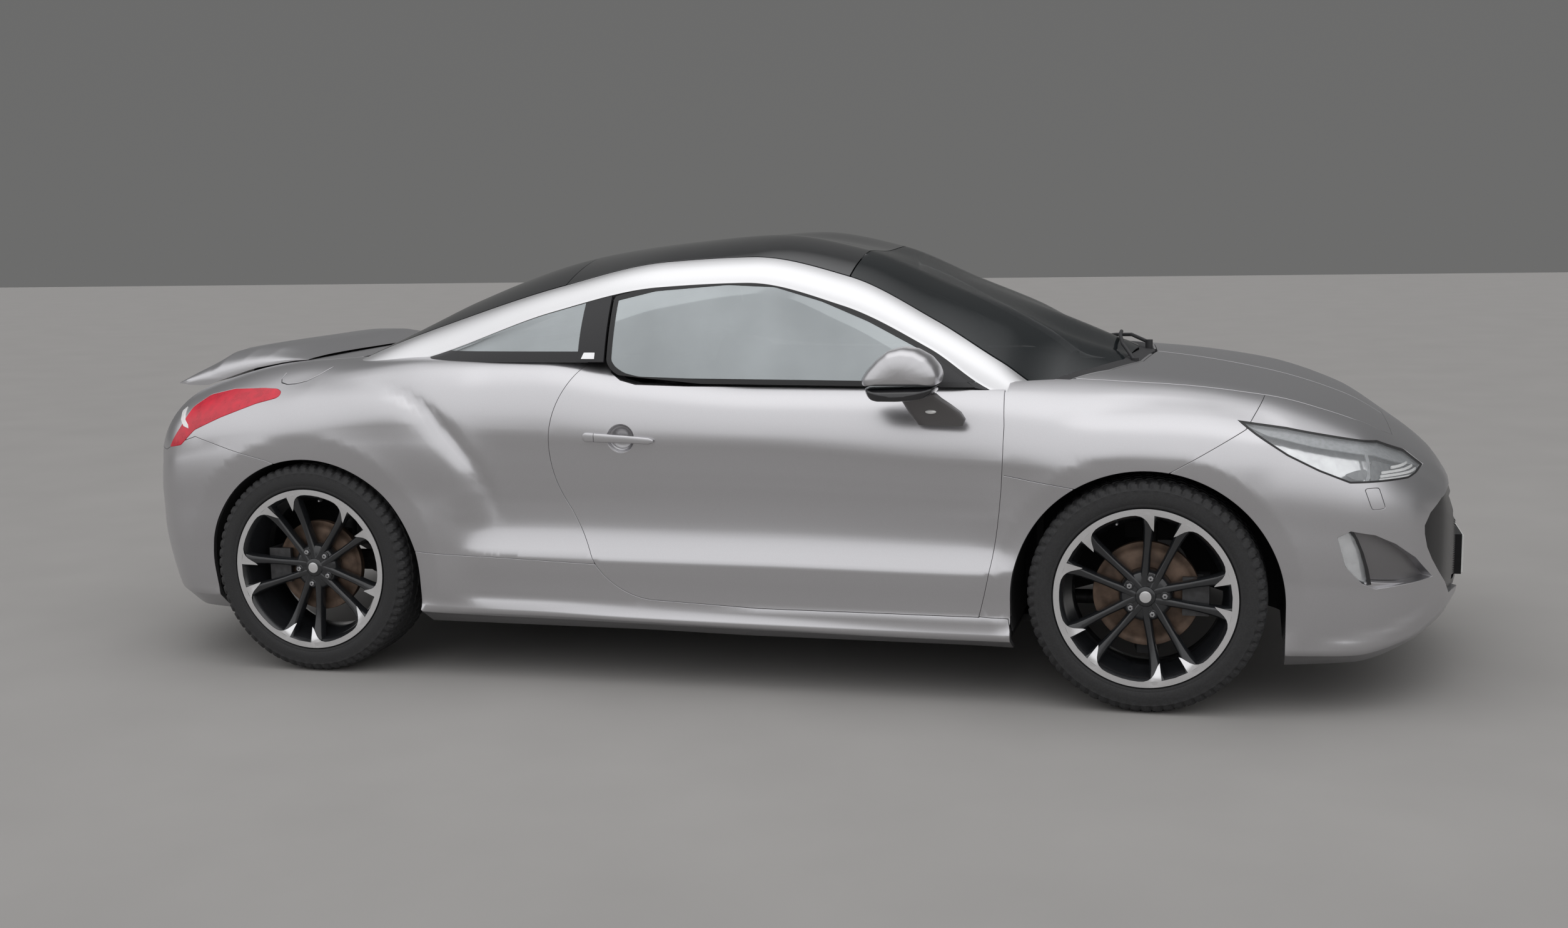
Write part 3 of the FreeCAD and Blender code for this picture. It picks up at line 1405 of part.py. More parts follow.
inside = feature("inside", body_core(-2040, 2040, inside=True))
FLOOR_LOW = size("floor_height")
FLOOR_TOP = FLOOR_LOW + size("floor_wall")
FLOOR_SIDE = across(784)
floor_plate = slab(
    "floor_plate",
    (along(-1010), -FLOOR_SIDE, FLOOR_LOW),
    (along(905), FLOOR_SIDE, FLOOR_TOP),
)
firewall = slab("firewall_plate", (along(885), -FAR / 3, FLOOR_TOP - 5), (along(905), FAR / 3, up(905)))
back_wall = slab("back_wall", (along(-1010), -FAR / 3, FLOOR_TOP - 5), (along(-990), FAR / 3, up(905)))
boot_floor_low = size("boot_floor_height")
boot_floor = slab(
    "boot_floor",
    (along(-2040), -FAR / 3, boot_floor_low),
    (along(-1010), FAR / 3, boot_floor_low + size("floor_wall")),
)
floor_whole = fuse("floor_whole", floor_plate, firewall, back_wall, boot_floor)
scuttle = slab("scuttle", (along(885), -across(680), up(862)), (along(1140), across(680), up(880)))
TUNNEL_HIGH = 110
tunnel = slab(
    "tunnel",
    (along(-1000), -across(110), FLOOR_TOP - 5),
    (along(890), across(110), FLOOR_TOP + TUNNEL_HIGH),
)
floor_inside = common("floor_inside", fuse("floor_solid", floor_whole, scuttle, tunnel), inside)
LINER_OUT = size("liner_room") + size("liner_wall")
liner_space = feature(
    "liner_space",
    Part.makeCompound(
        [
            arch_prism(
                FRONT_AXLE,
                size("arch_front_radius") + LINER_OUT + SEAM,
                -size("front_arch_inner") + SEAM,
                OUTSIDE_Y,
            ),
            arch_prism(
                REAR_AXLE,
                size("arch_rear_radius") + LINER_OUT + SEAM,
                -size("rear_arch_inner") + SEAM,
                OUTSIDE_Y,
            ),
        ]
    ),
)
PADS = ((650, -700), (650, 700), (-850, -700), (-850, 700))
pads = [
    slab(
        f"jack_pad_{n}",
        (along(x) - 40, across(y) - 30, FLOOR_LOW - 20),
        (along(x) + 40, across(y) + 30, FLOOR_LOW + 5),
    )
    for n, (x, y) in enumerate(PADS)
]
floor_pads = fuse("floor_pads", floor_inside, *pads)
keep(
    "floor_pan",
    cut(
        "floor_pan",
        floor_pads,
        liner_space,
        mirror("liner_space_left", liner_space),
        NODES["rear_bumper"],
        NODES["rear_quarters"],
        NODES["front_wings"],
    ),
)


def liner(centre, radius, inner_y, outer_y):
    """Curved sheet over a wheel, open at both sides."""
    room = size("liner_room")
    outer = arch_prism(centre, radius + LINER_OUT, inner_y, outer_y)
    return outer.cut(arch_prism(centre, radius + room, inner_y + 1, outer_y - 1))


FRONT_LINER_SIDE = across(805)
REAR_LINER_SIDE = across(770)
liner_pair = feature(
    "liner_pair",
    Part.makeCompound(
        [
            liner(FRONT_AXLE, size("arch_front_radius"), -size("front_arch_inner"), -FRONT_LINER_SIDE),
            liner(REAR_AXLE, size("arch_rear_radius"), -size("rear_arch_inner"), -REAR_LINER_SIDE),
        ]
    ),
)
under_room = slab("under_room", (along(-2100), -across(1000), 0), (along(2100), -across(300), up(190)))
strut_room = slab(
    "strut_room",
    (FRONT_AXLE - 50, -across(680), up(560)),
    (FRONT_AXLE + 50, -across(570), up(800)),
)
wheel_liner = cut("wheel_liner", liner_pair, strut_room, under_room)
liners = group("liners", wheel_liner, mirror("liners_left", wheel_liner))
for name in ("front_bumper", "rear_bumper", "sills"):
    liners = cut(f"liners_clear_of_{name}", liners, NODES[name])
keep("wheel_liners", liners)
keep("rear_axle", cut("rear_axle", rear_axle, NODES["wheel_liners"]))

# Cabin: dashboard, steering wheel and seats

DASH = ((640, 640), (700, 620), (885, 560), (885, 884), (700, 905), (650, 850))
dash_form = feature("dash_form", profile_prism([(along(x), up(z)) for x, z in DASH], 2 * across(735)))
COLUMN_TILT = math.radians(24)
WHEEL_PLACE = Vector(along(520), size("seat_space"), up(800))
COLUMN_WAY = Vector(math.cos(COLUMN_TILT), 0, -math.sin(COLUMN_TILT))
column_room = rod("column_room", WHEEL_PLACE, WHEEL_PLACE + COLUMN_WAY * 330, "strut_radius + running_gap")
keep("dashboard", cut("dashboard", common("dash", dash_form, inside), column_room))

ring = turned(
    "steering_ring",
    (
        ("wheel_rim_radius - steering_bar", "-1.0 * steering_bar"),
        ("wheel_rim_radius + steering_bar", "-1.0 * steering_bar"),
        ("wheel_rim_radius + steering_bar", "1.0 * steering_bar"),
        ("wheel_rim_radius - steering_bar", "1.0 * steering_bar"),
    ),
)
ring_turn = Rotation(Vector(0, 1, 0), COLUMN_WAY)
ring_placed = group("ring_placed", ring)
ring_placed.Placement = Placement(WHEEL_PLACE, ring_turn)
reach = size("wheel_rim_radius")
wheel_arms = []
for name, low, high in (
    ("wheel_bar", (-reach, -8, -22), (reach, 8, 22)),
    ("wheel_leg", (-20, -8, -reach), (20, 8, 0)),
    ("wheel_pad", (-70, -22, -60), (70, 14, 45)),
):
    arm = slab(name, (0, 0, 0), tuple(h - l for l, h in zip(low, high)))
    upright = Rotation(COLUMN_WAY.cross(Vector(0, 0, 1)), COLUMN_WAY, Vector(0, 0, 1), "YXZ")
    arm.Placement = Placement(WHEEL_PLACE + upright.multVec(Vector(*low)), upright)
    wheel_arms.append(arm)
column = rod("column", WHEEL_PLACE, WHEEL_PLACE + COLUMN_WAY * 290, "strut_radius")
keep("steering_wheel", fuse("steering_wheel", ring_placed, column, *wheel_arms))

FRONT_SEAT = (
    (380, 300), (400, 400), (380, 440), (-40, 415), (-110, 560), (-230, 980), (-245, 1120),
    (-330, 1130), (-345, 1000), (-250, 600), (-180, 400), (-150, 300),
)
REAR_SEAT = (
    (-450, 300), (-440, 390), (-760, 370), (-850, 620), (-915, 900), (-989, 900), (-989, 300),
)


def seat(name, outline, middle, wide):
    form = profile_prism([(along(x), up(z)) for x, z in outline], wide)
    form.translate(Vector(0, middle, 0))
    return feature(name, form)


front_seat = seat("front_seat", FRONT_SEAT, -size("seat_space"), size("seat_width"))
seat_base = slab(
    "seat_base",
    (along(-120), -size("seat_space") - 190, FLOOR_TOP + SEAT_GAP),
    (along(340), -size("seat_space") + 190, up(310)),
)
front_seat_whole = fuse("front_seat_whole", front_seat, seat_base)
rear_seat = seat("rear_seat", REAR_SEAT, 0, across(1180))
rear_base = slab(
    "rear_base",
    (along(-980), -across(560), FLOOR_TOP + TUNNEL_HIGH + SEAT_GAP),
    (along(-470), across(560), up(310)),
)
rear_seat_whole = fuse("rear_seat_whole", rear_seat, rear_base)
keep(
    "seats",
    group("seats", front_seat_whole, mirror("front_seat_left", front_seat_whole), rear_seat_whole),
)

# Exhaust

silencer = slab("silencer", (along(-1960), -across(330), up(235)), (along(-1680), across(330), up(400)))
pipe_low = size("floor_height") - size("exhaust_radius") - 5
pipe_rear = rod("pipe_rear", (along(-1700), 0, up(265)), (along(-1450), 0, pipe_low), "exhaust_radius")
pipe_long = rod("pipe_long", (along(-1460), 0, pipe_low), (along(1080), 0, pipe_low), "exhaust_radius")
tip_inner = rod(
    "tip_inner",
    (along(-1940), across(250), up(262)),
    (along(-2098), across(250), up(262)),
    "exhaust_radius + brake_gap",
)
hangers = [
    slab(f"hanger_{n}", (along(x) - 15, -8, pipe_low), (along(x) + 15, 8, FLOOR_LOW - SEAT_GAP))
    for n, x in enumerate((700, 0, -800))
]
hangers.append(slab("hanger_rear", (along(-1840), -60, up(395)), (along(-1800), 60, up(520) - SEAT_GAP)))
keep("exhaust", fuse("exhaust", silencer, pipe_rear, pipe_long, tip_inner, *hangers))

# Mirrors and spoiler

MIRROR = (
    (442, 967), (492, 1031), (567, 1054), (630, 1036), (668, 989), (673, 950), (659, 911),
    (467, 899), (450, 931),
)
MIRROR_ARM = ((557, 935), (594, 835), (650, 818), (736, 817), (734, 852), (656, 935))
mirror_head = feature(
    "mirror_head",
    Part.makeLoft(
        [
            wire_of(MIRROR, -across(895), 16),
            wire_of(MIRROR, -across(925), 2),
            wire_of(MIRROR, -across(1000), 4),
            wire_of(MIRROR, -across(1036), 34),
        ],
        True,
        True,
    ),
)
mirror_arm = feature("mirror_arm", side_prism(MIRROR_ARM, -across(825), -across(912)))
mirror_whole = fuse("mirror_whole", mirror_head, mirror_arm)
keep_pair("mirror", cut("mirror", mirror_whole, NODES["door_panel_right"]))

SPOILER = (
    (-1473, 990), (-1558, 999), (-1657, 1011), (-1757, 1011), (-1860, 999), (-1964, 966),
    (-2030, 911), (-1915, 897), (-1849, 922), (-1728, 956), (-1583, 981),
)
wing_blade = feature(
    "wing_blade",
    profile_prism([(along(x), up(z)) for x, z in SPOILER], 2 * across(565)),
)
stands = [
    slab(f"stand_{n}", (along(-1790), across(y) - 14, up(937)), (along(-1640), across(y) + 14, up(990)))
    for n, y in enumerate((-430, 430))
]
keep("spoiler", cut("spoiler", fuse("spoiler_whole", wing_blade, *stands), boot_lid))

doc.recompute()

failed = [item.Label for item in doc.Objects if "Invalid" in item.State or "Error" in item.State]
failed += [name for name, item in NODES.items() if item.Shape.isNull() or not item.Shape.isValid()]
if failed:
    raise RuntimeError("failed: " + ", ".join(failed))
os.makedirs("parts", exist_ok=True)
for name, item in NODES.items():
    print(name, len(item.Shape.Solids), round(item.Shape.Volume))
    item.Shape.exportStep(f"parts/{name}.step")
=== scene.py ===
"""Two-door coupe car: the looks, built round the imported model. Metres, +X forward, +Y left, +Z up."""

import bmesh
import bpy
import math
import numpy as np
from mathutils import Matrix, Vector
from mathutils.geometry import delaunay_2d_cdt


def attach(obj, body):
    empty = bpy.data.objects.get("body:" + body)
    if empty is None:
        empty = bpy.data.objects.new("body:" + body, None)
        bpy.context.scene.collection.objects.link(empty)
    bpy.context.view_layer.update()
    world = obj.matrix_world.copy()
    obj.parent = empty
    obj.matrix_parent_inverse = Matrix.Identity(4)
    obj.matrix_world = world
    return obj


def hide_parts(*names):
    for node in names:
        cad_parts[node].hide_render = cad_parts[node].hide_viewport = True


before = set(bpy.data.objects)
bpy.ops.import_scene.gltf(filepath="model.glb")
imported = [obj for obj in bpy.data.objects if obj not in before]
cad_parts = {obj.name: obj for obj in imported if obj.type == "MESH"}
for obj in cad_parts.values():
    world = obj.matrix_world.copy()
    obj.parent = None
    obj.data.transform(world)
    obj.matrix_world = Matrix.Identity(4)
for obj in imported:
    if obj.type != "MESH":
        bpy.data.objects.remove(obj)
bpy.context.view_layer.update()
MM = 0.001

# Section tables of the body and the roof, in millimetres, as in the solids' source

BODY = np.array(
    (
        (-2143.5, 375, 200, 392, 240, 430, 250, 480, 240, 525, 200, 562, 120, 575, 582),
        (-2105, 300, 400, 320, 455, 390, 465, 480, 455, 570, 410, 640, 300, 668, 680),
        (-2000, 190, 680, 230, 735, 390, 742, 500, 735, 650, 655, 780, 500, 838, 850),
        (-1850, 165, 822, 225, 862, 390, 870, 520, 864, 700, 775, 855, 620, 900, 912),
        (-1600, 165, 872, 225, 902, 400, 914, 560, 906, 740, 800, 905, 650, 962, 974),
        (-1378, 160, 882, 215, 908, 400, 922, 590, 914, 755, 798, 935, 640, 982, 992),
        (-1000, 160, 885, 210, 905, 400, 906, 580, 905, 775, 815, 985, 640, 1003, 1010),
        (-860, 160, 885, 208, 905, 400, 900, 580, 904, 776, 812, 986, 640, 1002, 1008),
        (-745, 160, 885, 206, 902, 400, 866, 580, 892, 770, 806, 986, 640, 1001, 1006),
        (-600, 160, 885, 205, 900, 400, 858, 580, 886, 765, 803, 985, 640, 1000, 1005),
        (-330, 160, 885, 200, 898, 400, 854, 580, 882, 758, 800, 950, 640, 975, 980),
        (100, 155, 885, 195, 898, 400, 853, 580, 880, 750, 800, 918, 640, 940, 945),
        (700, 155, 885, 190, 898, 395, 858, 570, 884, 712, 795, 914, 640, 945, 950),
        (1000, 150, 885, 190, 902, 400, 896, 570, 900, 705, 778, 905, 600, 952, 975),
        (1234, 150, 884, 190, 905, 400, 913, 580, 906, 720, 745, 902, 560, 940, 958),
        (1550, 130, 870, 180, 895, 390, 903, 560, 888, 720, 730, 868, 540, 898, 906),
        (1800, 135, 802, 175, 838, 370, 852, 520, 842, 660, 690, 792, 500, 818, 828),
        (1950, 170, 690, 200, 735, 350, 750, 480, 740, 600, 620, 692, 430, 727, 740),
        (2060, 215, 505, 240, 560, 340, 570, 440, 565, 530, 495, 605, 340, 642, 658),
        (2118, 255, 330, 275, 375, 335, 380, 400, 375, 470, 330, 530, 220, 560, 572),
    ),
    float,
)
BODY_BULGES = np.array((0, 4, 6, 9, 26, 7), float)
SIDE_BULGES = np.array((0, 4, -7, -5, 26, 7), float)
SIDE_FADE = ((-900, 0.0), (-700, 1.0), (850, 1.0), (1080, 0.0))
ROOF = np.array(
    (
        (-1345, 780, 900, 740, 925, 650, 960, 300, 985, 985),
        (-1180, 790, 940, 752, 957, 650, 1027, 300, 1068, 1058),
        (-1000, 799, 965, 735, 1000, 640, 1090, 300, 1162, 1150),
        (-600, 800, 970, 700, 1137, 620, 1211, 300, 1291, 1272),
        (-250, 800, 940, 690, 1211, 608, 1284, 300, 1340, 1320),
        (30, 800, 918, 688, 1222, 604, 1296, 300, 1359, 1341),
        (330, 800, 914, 698, 1152, 608, 1234, 300, 1305, 1297),
        (600, 800, 912, 728, 1024, 640, 1102, 300, 1192, 1197),
        (800, 798, 890, 768, 900, 690, 984, 300, 1110, 1122),
        (960, 770, 850, 748, 862, 670, 886, 280, 1030, 1062),
        (1180, 620, 830, 560, 845, 480, 872, 220, 955, 966),
    ),
    float,
)
ROOF_BULGES = (14, 14, 10)

# Outlines in the side view, x and z; a third number marks the middle of an arc

DOOR = (
    (828, 914), (-130, 922), (-290, 927), (-340, 939), (-376, 960), (-397, 985), (-410, 996), (-449, 998),
    (-556, 768, 1), (-495, 542), (-412, 376), (-350, 312, 1), (-237, 270),
    (100, 256), (764, 256), (816, 510, 1), (836, 817),
)
SILL = (
    (-1300, 60), (880, 60), (846, 256), (0, 300), (-404, 380), (-767, 393), (-1100, 402), (-1300, 402),
)
HEADLAMP = (
    (1479, 833), (1610, 814), (1858, 762), (1939, 722), (1993, 678), (1941, 664),
    (1779, 667), (1696, 701), (1612, 743), (1527, 798),
)
TAIL_LAMP = (
    (-1900, 712), (-1851, 778), (-1820, 842), (-1772, 878), (-1680, 898), (-1560, 904), (-1506, 903),
    (-1484, 895),
    (-1481, 885), (-1492, 877), (-1560, 860), (-1686, 815), (-1786, 773), (-1842, 722),
)
FOG_RECESS = (
    (1747, 519), (1783, 536), (1850, 522), (1907, 492), (1965, 445), (2020, 374),
    (1855, 365), (1817, 384), (1771, 435),
)
FRONT_BUMPER = ((1240, 40), (1240, 655), (1296, 692), (1501, 811), (1560, 900), (2300, 900), (2300, 40))
REAR_BUMPER = (
    (-1400, 40), (-1400, 640), (-1513, 683), (-1780, 752), (-1874, 722), (-1930, 700), (-2300, 700),
    (-2300, 40),
)
DOOR_WINDOW = (
    (818, 917), (-130, 925), (-290, 930), (-340, 942), (-374, 963), (-393, 988), (-393, 1185), (-261, 1215),
    (-30, 1232), (122, 1224), (270, 1180), (417, 1120), (611, 1022), (745, 930),
)
QUARTER_WINDOW = ((-1037, 988), (-452, 988), (-452, 1190), (-580, 1160), (-800, 1090))

# Outlines in plan, x and y of the right half given as positive

BONNET_PLAN = (
    (1215, 0), (1190, 330), (1110, 560), (1010, 690), (1300, 672), (1500, 655),
    (1700, 625), (1800, 590), (1880, 520), (1940, 400), (1990, 250), (2000, 0),
)
COWL_PLAN = (
    (1160, 0), (1132, 330), (1050, 560), (960, 697), (1003, 697), (1104, 564), (1184, 334), (1209, 0),
)
REAR_GLASS_PLAN = (
    (-588, -5), (-588, 606), (-1000, 627), (-1180, 632), (-1262, 612), (-1312, 600), (-1312, -5),
)
BOOT_PLAN = ((-1312, 0), (-1312, 606), (-1700, 604), (-1850, 590), (-2300, 560), (-2300, 0))
BOOT_LID_PLAN = ((-1318, 0), (-1318, 600), (-1700, 598), (-1850, 584), (-2300, 554), (-2300, 0))
CABIN_PLAN = (
    (1160, 0), (1132, 330), (1050, 560), (960, 700), (800, 742), (-1000, 742),
    (-1180, 655), (-1262, 622), (-1312, 606), (-1312, 0),
)
SCREEN_PLAN = ((334, -5), (334, 900), (960, 900), (960, 697), (1050, 560), (1132, 330), (1160, 0), (1160, -5))
FRONT_AXLE, REAR_AXLE, AXLE_HEIGHT = 1234.0, -1378.0, 335.0
# The wheel arches are circles round points a little under the axles
FRONT_ARCH, REAR_ARCH, ARCH_HEIGHT = 382.0, 372.0, AXLE_HEIGHT - 20.0
# Gap round a moving panel, seam between fixed ones, and reach of a panel's hem past its edge
GAP, SEAM, HEM = 6.0, 1.6, 1.3
# Grid rows to each piece of a section, and the millimetres a piece counts for when a panel is meshed
ROWS, SCALE_S = 24, 130.0
# Reach of the rounding at a crisp and at a soft corner of a section
CRISP, SOFT = 5.0, 26.0
# Spacing of a surface's grid along x, of the points that a section is rounded on, and of an outline's points
GRID_STEP, FAIR_STEP, RING_STEP = 8.0, 4.0, 6
# Length from which a piece of a section has its full bulge
FULL_BOW = 120
BODY_REAR, BODY_NOSE = BODY[0, 0], BODY[-1, 0]


def smooth_rows(table, places):
    """Rows of a section table at the places, by a smooth curve through each column."""
    keys = table[:, 0]
    rise = np.diff(table[:, 1:], axis=0) / np.diff(keys)[:, None]
    slopes = np.vstack([rise[:1], np.zeros_like(rise[1:]), rise[-1:]])
    before, after = rise[:-1], rise[1:]
    both = before * after
    total = np.where(np.abs(before + after) < 1e-12, 1.0, before + after)
    slopes[1:-1] = np.where(both > 0, 2 * both / total, 0.0)
    k = np.clip(np.searchsorted(keys, places, side="right") - 1, 0, len(keys) - 2)
    wide = (keys[k + 1] - keys[k])[:, None]
    t = (places - keys[k])[:, None] / wide
    a, b = table[k, 1:], table[k + 1, 1:]
    curve = a * (1 + 2 * t) * (1 - t) ** 2 + b * t * t * (3 - 2 * t)
    return curve + wide * t * (1 - t) * ((1 - t) * slopes[k] - t * slopes[k + 1])


def section(keys, bulges, middle, rows, crest):
    """Half section through the key points, rows points to each piece; the last piece reaches the middle."""
    points = []
    for (ay, az), (by, bz), bulge in zip(keys, keys[1:], bulges):
        t = np.arange(rows) / rows
        reach = max(math.hypot(by - ay, bz - az), 1e-6)
        bow = 4 * t * (1 - t) * bulge * min(1.0, reach / FULL_BOW)
        points.append(
            np.c_[ay + t * (by - ay) + bow * (bz - az) / reach, az + t * (bz - az) - bow * (by - ay) / reach]
        )
    ay, az = keys[-1]
    t = np.arange(rows + 1) / rows
    share = t * t * (3 - 2 * t) if crest else 1 - (1 - t) ** 2
    points.append(np.c_[ay * (1 - t), az + (middle - az) * share])
    return np.vstack(points)


def faired(points, reach):
    """A half section with its corners rounded over a reach, in millimetres; symmetric about the middle."""
    walk = np.r_[0, np.cumsum(np.hypot(*np.diff(points, axis=0).T))]
    even = np.arange(0, walk[-1] + FAIR_STEP, FAIR_STEP)
    even[-1] = walk[-1]
    line = np.c_[np.interp(even, walk, points[:, 0]), np.interp(even, walk, points[:, 1])]
    pad = min(int(4 * reach / FAIR_STEP) + 1, len(line) - 1)
    low = 2 * line[0] - line[pad:0:-1]
    high = line[-2 : -pad - 2 : -1] * (-1, 1)
    reel = np.arange(-pad, pad + 1) * FAIR_STEP
    weight = np.exp(-0.5 * (reel / reach) ** 2)
    weight /= weight.sum()
    full = np.vstack([low, line, high])
    round_line = np.c_[np.convolve(full[:, 0], weight, "valid"), np.convolve(full[:, 1], weight, "valid")]
    round_line[-1, 0] = 0.0
    return np.c_[np.interp(walk, even, round_line[:, 0]), np.interp(walk, even, round_line[:, 1])]


class Surface:
    """Grid of points over x and a section parameter, right half with y counted outwards."""

    def __init__(self, places, points, rows):
        self.places, self.points, self.rows = places, points, rows
        normals = np.cross(np.gradient(points, axis=1), np.gradient(points, places, axis=0))
        self.normals = normals / np.maximum(np.linalg.norm(normals, axis=2, keepdims=True), 1e-9)

    def _at(self, grid, x, s):
        fx = np.clip(np.interp(x, self.places, np.arange(len(self.places))), 0, len(self.places) - 1.0001)
        fs = np.clip(np.asarray(s, float) * self.rows, 0, grid.shape[1] - 1.0001)
        i, j = fx.astype(int), fs.astype(int)
        u, v = (fx - i)[:, None], (fs - j)[:, None]
        return (
            grid[i, j] * (1 - u) * (1 - v)
            + grid[i + 1, j] * u * (1 - v)
            + grid[i, j + 1] * (1 - u) * v
            + grid[i + 1, j + 1] * u * v
        )

    def point(self, x, s):
        return self._at(self.points, np.asarray(x, float), s)

    def normal(self, x, s):
        n = self._at(self.normals, np.asarray(x, float), s)
        return n / np.maximum(np.linalg.norm(n, axis=1, keepdims=True), 1e-9)

    def column(self, x):
        fx = np.interp(x, self.places, np.arange(len(self.places)))
        i = min(int(fx), len(self.places) - 2)
        return self.points[i] * (1 - fx + i) + self.points[i + 1] * (fx - i)

    def param_of(self, x, value, axis, low=0.0, high=99.0):
        """Section parameter where the coordinate on the axis has the value, within a range of parameters."""
        line = self.column(x)[:, axis]
        s = np.arange(len(line)) / self.rows
        inside = (s >= low) & (s <= high)
        line, s = line[inside], s[inside]
        if line[0] > line[-1]:
            line, s = line[::-1], s[::-1]
        return float(np.interp(value, np.maximum.accumulate(line), s))


def soft_step(t):
    t = np.clip(t, 0, 1)
    return t * t * (3 - 2 * t)


# Lines in the side view that the body's surface breaks along: dark grooves over the wheels' bulges
FRONT_GROOVE = (
    (955, 800), (1000, 826), (1057, 846), (1142, 864), (1271, 872), (1399, 866), (1526, 839), (1640, 800),
)
REAR_GROOVE = (
    (-1560, 905), (-1484, 915), (-1374, 929), (-1214, 922), (-1104, 907), (-1032, 886), (-952, 838),
    (-875, 759), (-805, 676), (-768, 584), (-752, 527), (-748, 480),
)
# The side's ledge: its foot, the crease above, and moves outwards between them by share of the height
LEDGE_FOOT = ((-900, 401), (-700, 401), (400, 398), (900, 393))
CREASE = ((-900, 772), (-700, 768), (-200, 756), (100, 750), (400, 731), (700, 712), (900, 700))
LEDGE_SHAPE = (
    (-0.05, 0), (0, 1), (0.06, -3.5), (0.125, -7), (0.19, -8.5), (0.25, -6.5), (0.31, -3.0), (0.38, 1.5),
    (0.45, 6),
    (0.51, 10), (0.64, 12), (0.76, 11), (0.88, 7), (1.0, 2), (1.12, 0),
)
LIP_LINE = ((1640, 200), (1706, 218), (1871, 243), (1992, 292), (2040, 335))
ARCH_RINGS = ((FRONT_AXLE, FRONT_ARCH, 55.0, 14.0), (REAR_AXLE, REAR_ARCH, 74.0, 16.0))
# Each groove: its line, the ridge's height, the groove's depth, the ridge's fall, share that it starts over
GROOVES = ((FRONT_GROOVE, 9.0, 10.0, 120.0, 0.34), (REAR_GROOVE, 9.0, 11.0, 150.0, 0.16))
GROOVE_END, GROOVE_HALF = 0.14, 24.0
SIDE_FROM, SIDE_BLEND = 560.0, 130.0
LEDGE_REAR, LEDGE_FRONT, LEDGE_BLEND, LEDGE_UNDER = -900.0, 900.0, 110.0, 8.0
SILL_REAR, SILL_OUT, LIP_REAR = -1120.0, 11.0, 1640.0


def line_field(px, pz, line):
    """Signed distance to a line, positive on its inner side, and place along it, 0 to 1."""
    line = np.array(line, float)
    walk = np.r_[0, np.cumsum(np.linalg.norm(np.diff(line, axis=0), axis=1))]
    best = np.full(px.shape, 1e9)
    signed, along = np.zeros(px.shape), np.zeros(px.shape)
    for n, (a, b) in enumerate(zip(line, line[1:])):
        d = b - a
        reach = d @ d
        t = np.clip(((px - a[0]) * d[0] + (pz - a[1]) * d[1]) / reach, 0, 1)
        away = np.hypot(px - a[0] - t * d[0], pz - a[1] - t * d[1])
        side = np.sign(d[1] * (px - a[0]) - d[0] * (pz - a[1]))
        closer = away < best
        best = np.where(closer, away, best)
        signed = np.where(closer, away * side, signed)
        along = np.where(closer, (walk[n] + t * math.sqrt(reach)) / walk[-1], along)
    return signed, along


def sculpt(points):
    """Grooves, wheel arch rings, the sill's step and the front lip, as small moves outwards."""
    x, y, z = points[:, :, 0], points[:, :, 1], points[:, :, 2]
    side = soft_step((y - SIDE_FROM) / SIDE_BLEND)
    move = np.zeros(x.shape)
    for line, ridge, valley, fall, start in GROOVES:
        d, t = line_field(x, z, line)
        fade = soft_step(t / start) * soft_step((1 - t) / GROOVE_END)
        hill = soft_step((d + 10) / 66) * (1 - soft_step((d - 60) / fall))
        move += fade * (ridge * hill - valley * np.exp(-(((d + 8) / GROOVE_HALF) ** 2)))
    for centre, radius, wide, deep in ARCH_RINGS:
        away = np.hypot(x - centre, z - ARCH_HEIGHT)
        move -= deep * np.clip((radius + wide - away) / wide, 0, 1.2) * soft_step((z - 170) / 90)
    ledge = soft_step((x - LEDGE_REAR) / LEDGE_BLEND) * soft_step((LEDGE_FRONT - x) / LEDGE_BLEND)
    low, high = np.interp(x, *zip(*LEDGE_FOOT)), np.interp(x, *zip(*CREASE))
    move += ledge * np.interp((z - low) / (high - low), *zip(*LEDGE_SHAPE))
    move -= ledge * LEDGE_UNDER * soft_step((low - z) / LEDGE_BLEND) * soft_step((z - 244) / 16)
    sill = soft_step((x - SILL_REAR) / 120) * soft_step((LEDGE_FRONT - x) / 60)
    move += sill * SILL_OUT * (soft_step((226 - z) / 14) - 0.45 * soft_step((205 - z) / 8))
    d, t = line_field(x, z, LIP_LINE)
    move += soft_step(t / 0.35) * (x > LIP_REAR) * 11 * soft_step((d + 4) / 34) * soft_step((z - 100) / 60)
    points[:, :, 1] = np.maximum(y + move * side, 0.0 * y)


def make_body():
    """The body's surface, its keys 1, 2 and 4 crisp, and key 3 where the doors are."""
    places = np.r_[np.arange(BODY_REAR, BODY_NOSE, GRID_STEP), BODY_NOSE]
    points = np.zeros((len(places), 7 * ROWS + 1, 3))
    s = np.arange(7 * ROWS + 1) / ROWS
    crisp = np.abs(s[:, None] - np.array((1.0, 2.0, 4.0))).min(1)
    for n, (x, row) in enumerate(zip(places, smooth_rows(BODY, places))):
        keys = [(row[1] * 0.9, row[0])] + [(row[k], row[k + 1]) for k in range(1, 13, 2)]
        share = np.interp(x, *zip(*SIDE_FADE))
        line = section(keys, BODY_BULGES * (1 - share) + SIDE_BULGES * share, row[-1], ROWS, False)
        soft = soft_step(np.minimum(crisp, np.abs(s - 3) * 1.6 + 1 - share) / 0.45)[:, None]
        points[n, :, 0] = x
        points[n, :, 1:] = faired(line, CRISP) * (1 - soft) + faired(line, SOFT) * soft
    sculpt(points)
    return Surface(places, points, ROWS)


